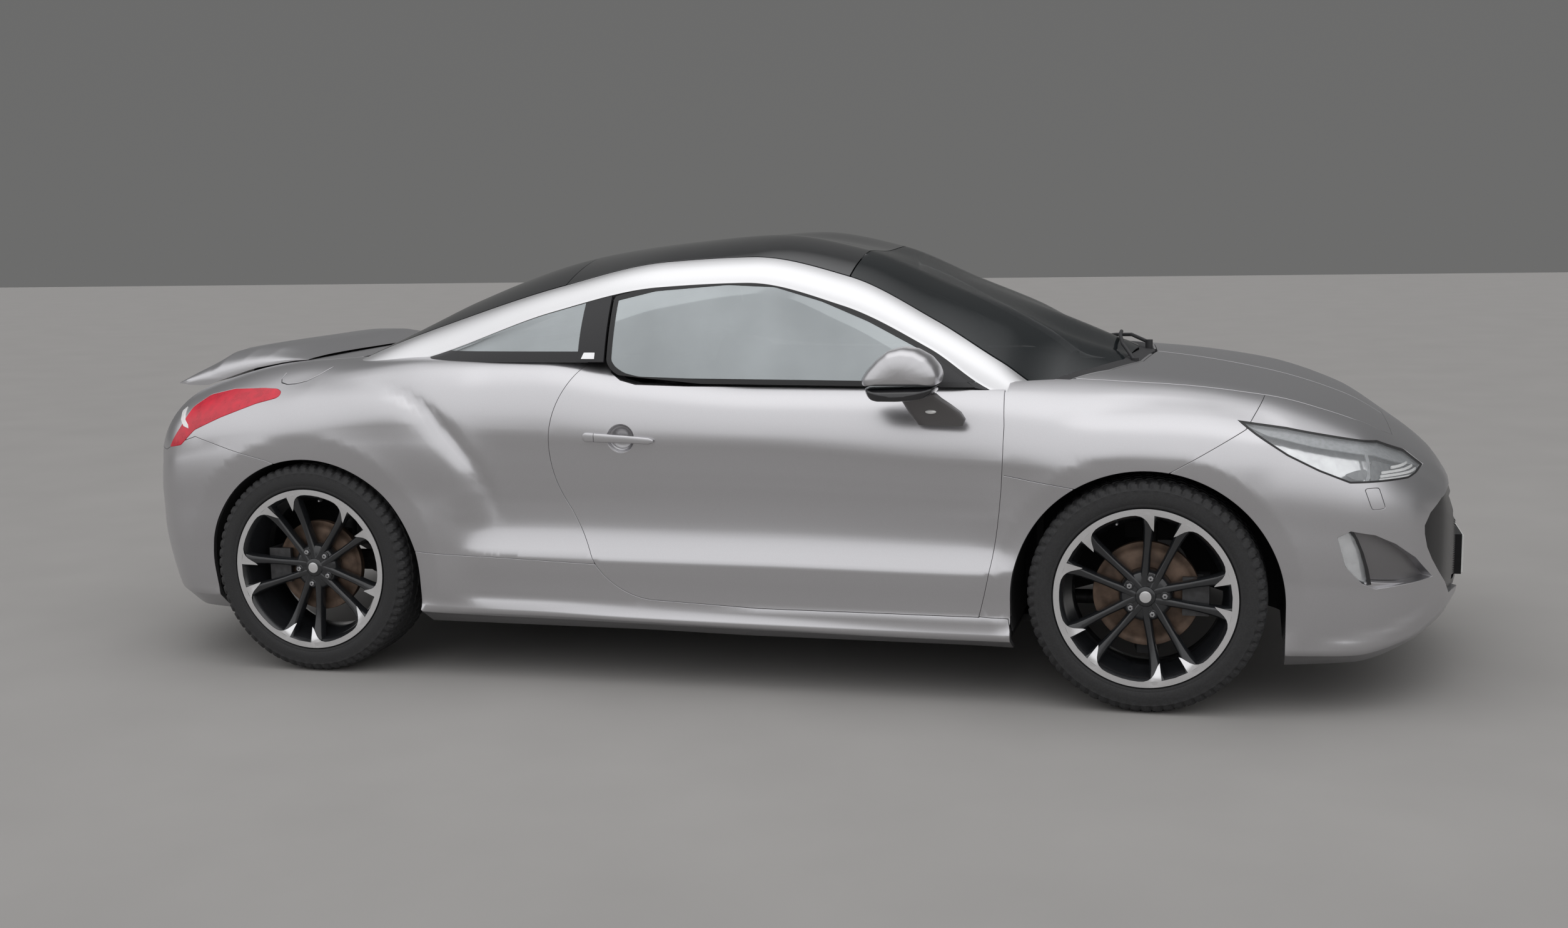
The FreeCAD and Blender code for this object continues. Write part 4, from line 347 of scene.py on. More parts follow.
def make_roof():
    """The surface of roof, screens and side windows."""
    places = np.r_[np.arange(-1345, 1180, GRID_STEP), 1180.0]
    points = np.zeros((len(places), 4 * ROWS + 1, 3))
    for n, (x, row) in enumerate(zip(places, smooth_rows(ROOF, places))):
        keys = [(row[k], row[k + 1]) for k in range(0, 8, 2)]
        points[n, :, 0] = x
        points[n, :, 1:] = faired(section(keys, ROOF_BULGES, row[-1], ROWS, True), CRISP)
    return Surface(places, points, ROWS)


body = make_body()
roof = make_roof()


def dense(outline, closed=True, step=12.0):
    """The outline's points, its arcs drawn out and its long runs divided."""
    count = len(outline)
    ring = []
    n = 0
    last = count if closed else count - 1
    while n < last:
        a = np.array(outline[n % count][:2], float)
        b = outline[(n + 1) % count]
        if len(b) == 3:
            c = np.array(outline[(n + 2) % count][:2], float)
            m = np.array(b[:2], float)
            d = 2 * np.cross(m - a, c - a)
            ab, ac = m - a, c - a
            centre = a + np.array(
                (ac[1] * (ab @ ab) - ab[1] * (ac @ ac), ab[0] * (ac @ ac) - ac[0] * (ab @ ab))
            ) / d
            radius = np.linalg.norm(a - centre)
            t0, t1, t2 = (math.atan2(*(p - centre)[::-1]) for p in (a, m, c))
            turn = 2 * math.pi
            if d > 0:
                t1, t2 = t0 + (t1 - t0) % turn, t0 + (t2 - t0) % turn
            else:
                t1, t2 = t0 - (t0 - t1) % turn, t0 - (t0 - t2) % turn
            pieces = max(2, int(abs(t2 - t0) * radius / step))
            for k in range(pieces):
                t = t0 + (t2 - t0) * k / pieces
                ring.append(centre + radius * np.array((math.cos(t), math.sin(t))))
            n += 2
        else:
            b = np.array(b[:2], float)
            pieces = max(1, int(np.linalg.norm(b - a) / step))
            ring += [a + (b - a) * k / pieces for k in range(pieces)]
            n += 1
    if not closed:
        ring.append(np.array(outline[-1][:2], float))
    return np.array(ring)


def moved_in(ring, margin):
    """Closed ring of plane points moved inwards by margin, outwards when it is negative."""
    ring = np.asarray(ring, float)
    area = 0.5 * np.sum(ring[:, 0] * np.roll(ring[:, 1], -1) - np.roll(ring[:, 0], -1) * ring[:, 1])
    turn = 1 if area > 0 else -1
    u = ring - np.roll(ring, 1, axis=0)
    v = np.roll(ring, -1, axis=0) - ring
    u /= np.linalg.norm(u, axis=1, keepdims=True)
    v /= np.linalg.norm(v, axis=1, keepdims=True)
    both = np.c_[-u[:, 1] - v[:, 1], u[:, 0] + v[:, 0]] * turn
    both *= (2 * margin / np.maximum((both**2).sum(1), 0.5))[:, None]
    return ring + both


def within(px, py, ring):
    """Whether points lie inside a closed ring."""
    inside = np.zeros(len(px), bool)
    for (ax, ay), (bx, by) in zip(ring, np.roll(ring, -1, axis=0)):
        if ay == by:
            continue
        cross = (ay > py) != (by > py)
        inside ^= cross & (px < (bx - ax) * (py - ay) / (by - ay) + ax)
    return inside


def rounded(ring, reach):
    """Closed ring with its corners rounded, by even spacing and a short average."""
    ring = np.asarray(ring, float)
    closed = np.vstack([ring, ring[:1]])
    walk = np.r_[0, np.cumsum(np.linalg.norm(np.diff(closed, axis=0), axis=1))]
    count = max(24, int(walk[-1] / RING_STEP))
    even = np.linspace(0, walk[-1], count, endpoint=False)
    line = np.c_[np.interp(even, walk, closed[:, 0]), np.interp(even, walk, closed[:, 1])]
    half = max(1, int(reach / (walk[-1] / count)))
    weight = np.hanning(2 * half + 3)[1:-1]
    weight /= weight.sum()
    full = np.vstack([line[-half:], line, line[:half]])
    return np.c_[np.convolve(full[:, 0], weight, "valid"), np.convolve(full[:, 1], weight, "valid")]


# Parts of a surface that a panel keeps or loses. Each has holds, which tells whether points at section
# parameters s are in it, and curve, its edge as pairs of x and s. An x of PEN_UP parts two runs of the edge.

PEN_UP = -1e5


class Region:
    """A closed outline on a surface, in the side view or in plan."""

    def __init__(self, outline, view="side", margin=0.0, low=0.0, high=99.0, soften=0.0):
        ring = dense(outline)
        if soften:
            ring = rounded(ring, soften)
        self.ring = moved_in(ring, margin) if margin else ring
        self.axis, self.low, self.high = 2 if view == "side" else 1, low, high

    def holds(self, p, s):
        return within(p[:, 0], p[:, self.axis], self.ring) & (s >= self.low) & (s <= self.high)

    def curve(self, surface):
        out = [(x, surface.param_of(x, v, self.axis, self.low, self.high)) for x, v in self.ring]
        return out + out[:1]


class Disc:
    """A wheel arch's round opening, open downwards."""

    def __init__(self, centre, radius, margin=0.0):
        self.centre, self.radius = centre, radius + margin

    def holds(self, p, s):
        round_part = np.hypot(p[:, 0] - self.centre, p[:, 2] - ARCH_HEIGHT) < self.radius
        below = (np.abs(p[:, 0] - self.centre) < self.radius) & (p[:, 2] < ARCH_HEIGHT)
        return (round_part | below) & (p[:, 1] > 500)

    def curve(self, surface):
        t = np.linspace(0, math.pi, 110)
        x, radius = self.centre, self.radius
        top = [(x + radius * math.cos(a), ARCH_HEIGHT + radius * math.sin(a)) for a in t]
        ring = [(x + radius, 60), *top, (x - radius, 60)]
        return [(x, surface.param_of(x, v, 2, 0, 5.6)) for x, v in dense(ring, False, 10.0)]


class Level:
    """What lies above a line in the side view."""

    def __init__(self, places, margin=0.0):
        self.places = np.array(places, float)
        self.margin = margin

    def holds(self, p, s):
        return p[:, 2] > np.interp(p[:, 0], self.places[:, 0], self.places[:, 1]) + self.margin

    def curve(self, surface):
        xs = np.linspace(self.places[0, 0], self.places[-1, 0], 90)
        zs = np.interp(xs, self.places[:, 0], self.places[:, 1]) + self.margin
        return [(x, surface.param_of(x, z, 2)) for x, z in zip(xs, zs)]


class NoseEdge:
    """Behind the bonnet's front edge, which leans forwards."""

    EDGE, LEAN, HEIGHT = 1890.0, 0.45, 690.0

    def __init__(self, margin=0.0):
        self.foot = self.EDGE - margin

    def behind(self, x, z):
        return x < self.foot + self.LEAN * (z - self.HEIGHT)

    def holds(self, p, s):
        return self.behind(p[:, 0], p[:, 2])

    def curve(self, surface):
        out = []
        for s in np.linspace(4.0, 7.0, 60):
            low, high = 1700.0, 2117.0
            for _ in range(40):
                x = (low + high) / 2
                if self.behind(x, surface.point([x], [s])[0, 2]):
                    low = x
                else:
                    high = x
            out.append((x, s))
        return out


class Limit:
    """Everything beyond a plane of one coordinate."""

    def __init__(self, axis, value, above=True):
        self.axis, self.value, self.above = axis, value, above

    def holds(self, p, s):
        return p[:, self.axis] > self.value if self.above else p[:, self.axis] < self.value

    def curve(self, surface):
        if self.axis == 0:
            return [(self.value, s) for s in np.linspace(0, 7, 100)]
        out = []
        for x in np.linspace(surface.places[0], surface.places[-1], 400):
            line = surface.column(x)[:, self.axis]
            if line.min() < self.value < line.max():
                out.append((x, surface.param_of(x, self.value, self.axis)))
            else:
                out.append((PEN_UP, 0))
        return out


class Both:
    """The part that regions share."""

    def __init__(self, *parts):
        self.parts = parts

    def holds(self, p, s):
        return np.logical_and.reduce([one.holds(p, s) for one in self.parts])

    def curve(self, surface):
        return [q for one in self.parts for q in one.curve(surface) + [(PEN_UP, 0)]]


def inward(s, count):
    """Direction into the wall for each section parameter of the lower body."""
    angle = soft_step((np.asarray(s) - 4.2) / 1.9) * math.pi / 2
    return np.c_[np.zeros(count), -np.cos(angle), -np.sin(angle)]


def grid_places(low, high, step):
    return np.linspace(low, high, max(2, int(round((high - low) / step)) + 1))


def clip_to_box(p, q, low, high):
    """The part of a straight piece inside a box, or None."""
    start, end = 0.0, 1.0
    way = q - p
    for axis in (0, 1):
        for edge, sign in ((low[axis], 1), (high[axis], -1)):
            near = sign * (p[axis] - edge)
            speed = sign * way[axis]
            if abs(speed) < 1e-12:
                if near < -1e-9:
                    return None
            elif speed > 0:
                start = max(start, -near / speed)
            else:
                end = min(end, near / -speed)
    if start >= end:
        return None
    return p + way * start, p + way * end


def runs_inside(curve, low, high):
    """The parts of a curve inside a box, as runs of points."""
    places = np.array([(x, s * SCALE_S) for x, s in curve], float)
    run = []
    for p, q in zip(places, places[1:]):
        clipped = None if min(p[0], q[0]) <= PEN_UP else clip_to_box(p, q, low, high)
        if clipped is None:
            if len(run) > 1:
                yield run
            run = []
            continue
        start, end = clipped
        if run and np.linalg.norm(np.subtract(run[-1], start)) > 1e-6:
            yield run
            run = []
        if not run:
            run = [tuple(start)]
        if np.linalg.norm(np.subtract(run[-1], end)) > 0.05:
            run.append(tuple(end))
    if len(run) > 1:
        yield run


def open_edges(triangles):
    """Directed edges that only one triangle has."""
    edges = {}
    for f in triangles:
        for a, b in ((f[0], f[1]), (f[1], f[2]), (f[2], f[0])):
            if (b, a) in edges:
                del edges[(b, a)]
            else:
                edges[(a, b)] = True
    return list(edges)


def flat_mesh(surface, x_range, s_range, keep, cutters, step):
    """Triangles over x and the scaled section parameter, divided along the cutters' curves."""
    xs, ss = grid_places(*x_range, step[0]), grid_places(*s_range, step[1])
    points, edges = [], []

    def line(places):
        first = len(points)
        points.extend(places)
        edges.extend((first + n, first + n + 1) for n in range(len(places) - 1))

    (x0, x1), (s0, s1) = x_range, s_range
    corner = ((x0, s0), (x1, s0), (x1, s1), (x0, s1))
    for n in range(4):
        (ax, a), (bx, b) = corner[n], corner[(n + 1) % 4]
        t = np.linspace(0, 1, len(xs) if a == b else len(ss))
        line(list(zip(ax + (bx - ax) * t, (a + (b - a) * t) * SCALE_S)))
    fixed = len(points)
    low, high = np.array((x0, s0 * SCALE_S)), np.array((x1, s1 * SCALE_S))
    for cutter in keep + cutters:
        for run in runs_inside(cutter.curve(surface), low, high):
            line(run)
    gx, gs = np.meshgrid(xs[1:-1], ss[1:-1] * SCALE_S, indexing="ij")
    inner = np.c_[gx.ravel(), gs.ravel()]
    marks = np.array(points[fixed:])
    if len(marks):
        near = np.full(len(inner), 1e9)
        for chunk in range(0, len(marks), 400):
            d = inner[:, None] - marks[None, chunk : chunk + 400]
            near = np.minimum(near, (d**2).sum(2).min(1))
        inner = inner[near > 5.0**2]
    points.extend(map(tuple, inner))
    out = delaunay_2d_cdt([Vector(p) for p in points], edges, [], 0, 0.02)
    flat = np.array([tuple(v) for v in out[0]])
    faces = np.array([f for f in out[2] if len(f) == 3])
    middle = flat[faces].mean(1)
    ms = middle[:, 1] / SCALE_S
    spot = surface.point(middle[:, 0], ms)
    corners = flat[faces]
    good = np.abs(np.cross(corners[:, 1] - corners[:, 0], corners[:, 2] - corners[:, 0])) > 1e-4
    for one in keep:
        good &= one.holds(spot, ms)
    for one in cutters:
        good &= ~one.holds(spot, ms)
    used, faces = np.unique(faces[good], return_inverse=True)
    return flat[used], faces.reshape(-1, 3)


def panel_arrays(surface, x_range, s_range, keep, cutters, depth, step, into, lift, hem):
    """Closed panel of outer skin, hem and inner skin: vertices, normals, faces and material slots."""
    flat, faces = flat_mesh(surface, x_range, s_range, keep, cutters, step)
    x, s = flat[:, 0], flat[:, 1] / SCALE_S
    p, n = surface.point(x, s), surface.normal(x, s)
    a, b, c = p[faces[:, 0]], p[faces[:, 1]], p[faces[:, 2]]
    wrong = (np.cross(b - a, c - a) * n[faces[:, 0]]).sum(1) < 0
    faces[wrong] = faces[wrong][:, ::-1]
    p = p + n * lift
    d = -n * depth if into is None else into(s, len(s)) * depth
    rim = [e for e in open_edges(faces) if not (p[e[0], 1] < 0.05 and p[e[1], 1] < 0.05)]
    outward = np.zeros_like(p)
    for u, v in rim:
        way = np.cross(p[v] - p[u], n[u] + n[v])
        way /= max(np.linalg.norm(way), 1e-9)
        outward[u] += way
        outward[v] += way
    outward = outward / np.maximum(np.linalg.norm(outward, axis=1, keepdims=True), 1e-9)
    edge = np.unique(np.array(rim).ravel()) if rim else np.array([], int)
    place = {int(e): k for k, e in enumerate(edge)}
    count, k = len(p), len(edge)
    t, m = outward[edge], n[edge]
    ring_a = p[edge] + t * hem * 0.7 - m * hem * 0.3
    ring_b = p[edge] + t * hem - m * hem
    ring_c = p[edge] + t * hem + d[edge]
    verts = np.vstack([p, ring_a, ring_b, ring_c, ring_c, p + d])
    back = d / np.maximum(np.linalg.norm(d, axis=1, keepdims=True), 1e-9)
    normals = np.vstack([n, (m + t) / math.sqrt(2), t, t, back[edge], back])
    all_faces = [tuple(f) for f in faces]
    slots = [0] * len(all_faces)
    for u, v in rim:
        i, j = place[int(u)], place[int(v)]
        rows = [(u, v), *((count + r * k + i, count + r * k + j) for r in range(3))]
        for (a0, b0), (a1, b1) in zip(rows, rows[1:]):
            all_faces.append((b0, a0, a1, b1))
            slots.append(0)
        a0, b0 = count + 3 * k + i, count + 3 * k + j
        all_faces.append((b0, a0, count + 4 * k + u, count + 4 * k + v))
        slots.append(1)
    for f in faces:
        all_faces.append(tuple(count + 4 * k + q for q in f[::-1]))
        slots.append(1)
    return verts, normals, all_faces, slots


def mesh_object(name, verts, normals, faces, slots, materials, side):
    """Object from arrays with y counted outwards: right side, left side, or both joined in the middle."""
    verts, normals = np.array(verts, float), np.array(normals, float)
    right = verts * (1, -1, 1), normals * (1, -1, 1), [tuple(int(q) for q in f[::-1]) for f in faces]
    left = verts, normals, [tuple(int(q) for q in f) for f in faces]
    if side == "both":
        count = len(verts)
        middle = np.abs(verts[:, 1]) < 0.05
        index = np.arange(count) + count
        index[middle] = np.nonzero(middle)[0]
        v = np.vstack([right[0], left[0]])
        n = np.vstack([right[1], left[1]])
        n[:count][middle] *= (1, 0, 1)
        f = right[2] + [tuple(int(index[q]) for q in g) for g in left[2]]
        slots = list(slots) * 2
        used = np.unique(np.concatenate([np.array(g) for g in f]))
        again = np.full(len(v), -1)
        again[used] = np.arange(len(used))
        v, n = v[used], n[used]
        f = [tuple(int(again[q]) for q in g) for g in f]
    else:
        v, n, f = left if side == "left" else right
    kept = [(g, slot) for g, slot in zip(f, slots) if len(set(g)) == len(g)]
    mesh = bpy.data.meshes.new(name)
    mesh.from_pydata((v * MM).tolist(), [], [g for g, _ in kept])
    mesh.update()
    for m in materials:
        mesh.materials.append(m)
    mesh.polygons.foreach_set("material_index", [slot for _, slot in kept])
    mesh.polygons.foreach_set("use_smooth", [True] * len(kept))
    lengths = np.maximum(np.linalg.norm(n, axis=1, keepdims=True), 1e-9)
    mesh.normals_split_custom_set_from_vertices((n / lengths).tolist())
    item = bpy.data.objects.new(name, mesh)
    bpy.context.scene.collection.objects.link(item)
    return item

# Materials


def principled(name, colour, metallic=0.0, roughness=0.5, **more):
    """New material with its shader; more sets further sockets by name."""
    m = bpy.data.materials.new(name)
    m.use_nodes = True
    shader = m.node_tree.nodes["Principled BSDF"]
    shader.inputs["Base Color"].default_value = (*colour, 1)
    shader.inputs["Metallic"].default_value = metallic
    shader.inputs["Roughness"].default_value = roughness
    for key, number in more.items():
        shader.inputs[key.replace("_", " ")].default_value = number
    return m, shader


def grain(m, shader, scale, dark, light, spread=(0.35, 0.65), rough=None, bump=0.0, reach=0.001, detail=4.0):
    """Colour, roughness and bump from a noise over the object's own coordinates."""
    tree = m.node_tree
    place = tree.nodes.new("ShaderNodeTexCoord")
    noise = tree.nodes.new("ShaderNodeTexNoise")
    noise.inputs["Scale"].default_value = scale
    noise.inputs["Detail"].default_value = detail
    tree.links.new(place.outputs["Object"], noise.inputs["Vector"])
    ramp = tree.nodes.new("ShaderNodeValToRGB")
    ramp.color_ramp.elements[0].position, ramp.color_ramp.elements[1].position = spread
    ramp.color_ramp.elements[0].color = (*dark, 1)
    ramp.color_ramp.elements[1].color = (*light, 1)
    tree.links.new(noise.outputs["Fac"], ramp.inputs["Fac"])
    tree.links.new(ramp.outputs["Color"], shader.inputs["Base Color"])
    if rough:
        span = tree.nodes.new("ShaderNodeMapRange")
        span.inputs["To Min"].default_value, span.inputs["To Max"].default_value = rough
        tree.links.new(noise.outputs["Fac"], span.inputs["Value"])
        tree.links.new(span.outputs["Result"], shader.inputs["Roughness"])
    if bump:
        lump = tree.nodes.new("ShaderNodeBump")
        lump.inputs["Strength"].default_value = bump
        lump.inputs["Distance"].default_value = reach
        tree.links.new(noise.outputs["Fac"], lump.inputs["Height"])
        tree.links.new(lump.outputs["Normal"], shader.inputs["Normal"])
    return m


def shade(colour, factor):
    return tuple(min(1.0, c * factor) for c in colour)


def grained(name, colour, metallic, roughness, scale, vary=0.08, bump=0.0, reach=0.001, detail=4.0, **more):
    """Material whose colour and roughness vary by a noise; more sets further sockets by name."""
    m, shader = principled(name, colour, metallic, roughness, **more)
    rough = (max(0.02, roughness * 0.85), min(1.0, roughness * 1.15))
    dark, light = shade(colour, 1 - vary), shade(colour, 1 + vary)
    return grain(m, shader, scale, dark, light, (0.3, 0.7), rough, bump, reach, detail)


# Each finish: name, colour, metallic, roughness, grain's scale, share that it varies, bump, its reach, detail

paint = grained("paint_satin_grey", (0.56, 0.555, 0.57), 0.90, 0.30, 1400.0, 0.08, 0.03, 0.0002, 2.0)
arch_silver = grained("satin_silver", (0.76, 0.76, 0.77), 0.85, 0.34, 900.0, 0.03, 0.03, 0.0002, 2.0)
grille_black = grained(
    "grille_black", (0.008, 0.008, 0.009), 0.0, 0.22, 40.0, 0.2, **{"Specular IOR Level": 0.25}
)
gloss_black = grained(
    "gloss_black", (0.012, 0.012, 0.014), 0.0, 0.08, 40.0, 0.2, Coat_Weight=0.6, Coat_Roughness=0.04
)
trim_black = grained("trim_black", (0.022, 0.022, 0.024), 0.0, 0.55, 600.0, 0.3, 0.15, 0.0005)
seal_black = grained("seal_rubber", (0.012, 0.012, 0.013), 0.0, 0.5, 300.0, 0.3, 0.1, 0.0003)
door_trim = grained("door_trim", (0.03, 0.03, 0.033), 0.0, 0.62, 260.0, 0.25, 0.3, 0.0008)
side_glass = grained("tinted_glass", (0.40, 0.43, 0.44), 0.85, 0.05, 3.0, 0.12, Alpha=0.80)
screen_glass = grained("screen_glass", (0.02, 0.024, 0.026), 0.0, 0.04, 3.0, 0.12, Alpha=0.72)
dark_glass = grained(
    "rear_glass_dark", (0.012, 0.013, 0.015), 0.0, 0.06, 3.0, 0.1, Coat_Weight=0.5, Coat_Roughness=0.03
)

# Body panels, each made once for both sides or as a right and a left piece


def panel(
    name, ride_on, surface, x_range, s_range, outer, inner=None, nodes=(), keep=(), cut=(), depth=4.0,
    step=(22.0, 0.125), into=None, lift=0.0, hem=HEM, pair=False, slot=None,
):
    """Cuts a panel out of a surface: what all of keep share, less each of cut."""
    arrays = panel_arrays(surface, x_range, s_range, [*keep], [*cut], depth, step, into, lift, hem)
    for side in ("right", "left") if pair else ("both",):
        full_name = f"{name}_{side}_skin" if pair else f"{name}_skin"
        item = mesh_object(full_name, *arrays, [outer, inner or outer], side)
        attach(item, ride_on.format(side))
        if pair or nodes:
            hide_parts(*[node.format(side) for node in nodes])


def seam_line(points, width):
    """Closed outline of a narrow line, for a groove cut through a panel."""
    line = dense(points, False, 10.0)
    way = np.gradient(line, axis=0)
    way /= np.linalg.norm(way, axis=1, keepdims=True)
    across = np.c_[-way[:, 1], way[:, 0]] * width / 2
    return [tuple(q) for q in np.vstack([line + across, (line - across)[::-1]])]


def on_side(outline, **more):
    """Region of the body's side, from its lower edge to its shoulder."""
    return Region(outline, low=1, high=6.2, **more)


LID_LINE = ((-2300, 700), (-1900, 700), (-1312, 930), (-1300, 935))
WASHER_COVER = ((1818, 650), (1857, 651), (1876, 593), (1839, 592))
CUP_X, CUP_Z, CUP_RADIUS = -321, 766, 43.0
CUP_TURN = np.linspace(0, 2 * math.pi, 40, endpoint=False)
CUP_RING = [(CUP_X + CUP_RADIUS * math.cos(a), CUP_Z + CUP_RADIUS * math.sin(a)) for a in CUP_TURN]
ARCH_SEAM = ((835, 676), (900, 664), (975, 652), (1040, 640))
FLAP_LINE = (
    (-1519, 946), (-1516, 930), (-1505, 920), (-1480, 916), (-1448, 918), (-1415, 926), (-1385, 942),
    (-1356, 966),
)
MOUTH_SIDE = (
    (2300, 604), (2070, 600), (2040, 588), (2006, 562), (1988, 530), (1989, 505), (1998, 465), (2015, 425),
    (2037, 384), (2062, 340), (2082, 290), (2300, 285),
)
BONNET_ROUND = BONNET_PLAN + ((1215, -1),)
LAMP_EDGE, LINE_WIDE = 1.5, 3.4

door_gap = Region(DOOR, low=0, high=6.2, margin=HEM)
sill_cut = Region(SILL, margin=-SEAM, low=0, high=4)
front_arch, rear_arch = Disc(FRONT_AXLE, FRONT_ARCH, HEM), Disc(REAR_AXLE, REAR_ARCH, HEM)
headlamp_cut = on_side(HEADLAMP, margin=-LAMP_EDGE)
tail_lamp_cut = on_side(TAIL_LAMP, margin=-LAMP_EDGE, soften=12)
cabin_room = Region(CABIN_PLAN, "plan", low=4.6)
cowl_room = Region(COWL_PLAN, "plan", low=4.6)
lid_hole = Both(Region(BOOT_PLAN, "plan"), Level(LID_LINE), Limit(0, -1312, False))
bonnet_hole = Both(Region(BONNET_ROUND, "plan", low=4.3), NoseEdge())
front_mouth = Both(Limit(0, 1985), Limit(1, 400, False), Limit(2, 285), Limit(2, 570, False))
plate_hollow = Both(Limit(0, -2128, False), Limit(1, 262, False), Limit(2, 444), Limit(2, 560, False))
cover_ring = rounded(WASHER_COVER, 8)
cover_line = [tuple(q) for q in np.vstack([cover_ring, cover_ring[:1]])]

panel(
    "door", "door_{}", body, (-570, 842), (0.9, 6.2), paint, door_trim, ["door_panel_{}"],
    [Region(DOOR, margin=GAP - HEM, low=0.9, high=6.2)], [Region(CUP_RING, low=0.9, high=6.2)], depth=62.0,
    into=lambda s, n: np.tile((0.0, -1.0, 0.0), (n, 1)), pair=True, slot="body_paint",
)
panel(
    "sill", "car", body, (-1300, 880), (0, 3.2), paint, None, ["sills"],
    [Region(SILL, margin=SEAM, low=0, high=4)], [door_gap, front_arch, rear_arch],
    depth=30.0, into=inward, slot="body_paint",
)
panel(
    "rear_quarter", "car", body, (BODY_REAR, -395), (0, 6.6), paint, None, ["rear_quarters"], (),
    [door_gap, sill_cut, Region(REAR_BUMPER, margin=-SEAM), lid_hole, cabin_room, tail_lamp_cut, rear_arch,
     Region(seam_line(FLAP_LINE, LINE_WIDE), low=1, high=6.6)],
    depth=26.0, into=inward, slot="body_paint",
)
panel(
    "front_wing", "car", body, (750, 1600), (0, 6.8), paint, None, ["front_wings"], (),
    [door_gap, sill_cut, Region(FRONT_BUMPER, margin=-SEAM), bonnet_hole, cabin_room,
     Both(Limit(0, 836, False), Limit(2, 905)), cowl_room, headlamp_cut, front_arch,
     Region(seam_line(ARCH_SEAM, LINE_WIDE), low=1, high=6)],
    depth=26.0, into=inward, slot="body_paint",
)
panel(
    "front_bumper", "car", body, (1240, BODY_NOSE), (0, 7), paint, None, ["front_bumper"],
    [Region(FRONT_BUMPER, margin=SEAM)],
    [bonnet_hole, headlamp_cut, front_arch, front_mouth, Region(MOUTH_SIDE, low=0, high=7),
     Both(Region(FOG_RECESS, low=1, high=4), Limit(1, 500)),
     Region(seam_line(cover_line, 3.0), low=1, high=6)],
    depth=34.0, slot="body_paint", step=(18.0, 0.11),
)
panel(
    "bonnet", "bonnet_lid", body, (1005, 2022), (4.3, 7), paint, None, ["bonnet"],
    [Region(BONNET_ROUND, "plan", margin=GAP - HEM, low=4.3), NoseEdge(GAP - HEM)],
    depth=22.0, slot="body_paint",
)
panel(
    "boot_lid", "tailgate", body, (BODY_REAR, -1316), (1.5, 7), paint, None, ["boot_lid"],
    [Region(BOOT_LID_PLAN, "plan"), Level(LID_LINE, GAP)], depth=22.0, slot="body_paint",
)
panel(
    "rear_bumper", "car", body, (BODY_REAR, -1400), (0, 7), paint, None, ["rear_bumper"],
    [Region(REAR_BUMPER, margin=SEAM)], [lid_hole, tail_lamp_cut, rear_arch, plate_hollow],
    depth=18.0, slot="body_paint",
)

# Roof, glass and pillars: name, what it rides on, ranges of x and section parameter, finishes, and the rest

roof_black = grained(
    "roof_black", (0.010, 0.011, 0.013), 0.0, 0.07, 30.0, 0.2, Coat_Weight=0.7, Coat_Roughness=0.03
)
bright_chrome = grained("bright_trim", (0.85, 0.85, 0.86), 1.0, 0.16, 60.0, 0.03)
ROOF_HEADER, ROOF_END, ROOF_ROWS = 329.0, -583.0, (2.03, 4.0)
WINDOW_ROWS = dict(low=0, high=1.0)
WINDOW_SOFT = dict(soften=22, **WINDOW_ROWS)
FINE = (18.0, 0.1)
SCREEN = dict(depth=4.0, lift=-1.0, hem=0.4, step=FINE, slot="screen_glass")
PANE = dict(depth=4.0, lift=-1.5, hem=0.3, step=FINE, slot="side_glass")
TRIM = dict(hem=0.8, step=FINE)
QUARTER_BAND = ((-1037, 988), (-452, 988), (-452, 1020), (-960, 1020))
PILLAR = ((-486, 990), (-402, 990), (-402, 1210), (-486, 1210))
BADGE_PLACE = ((-474, 998), (-432, 998), (-432, 1016), (-466, 1016))
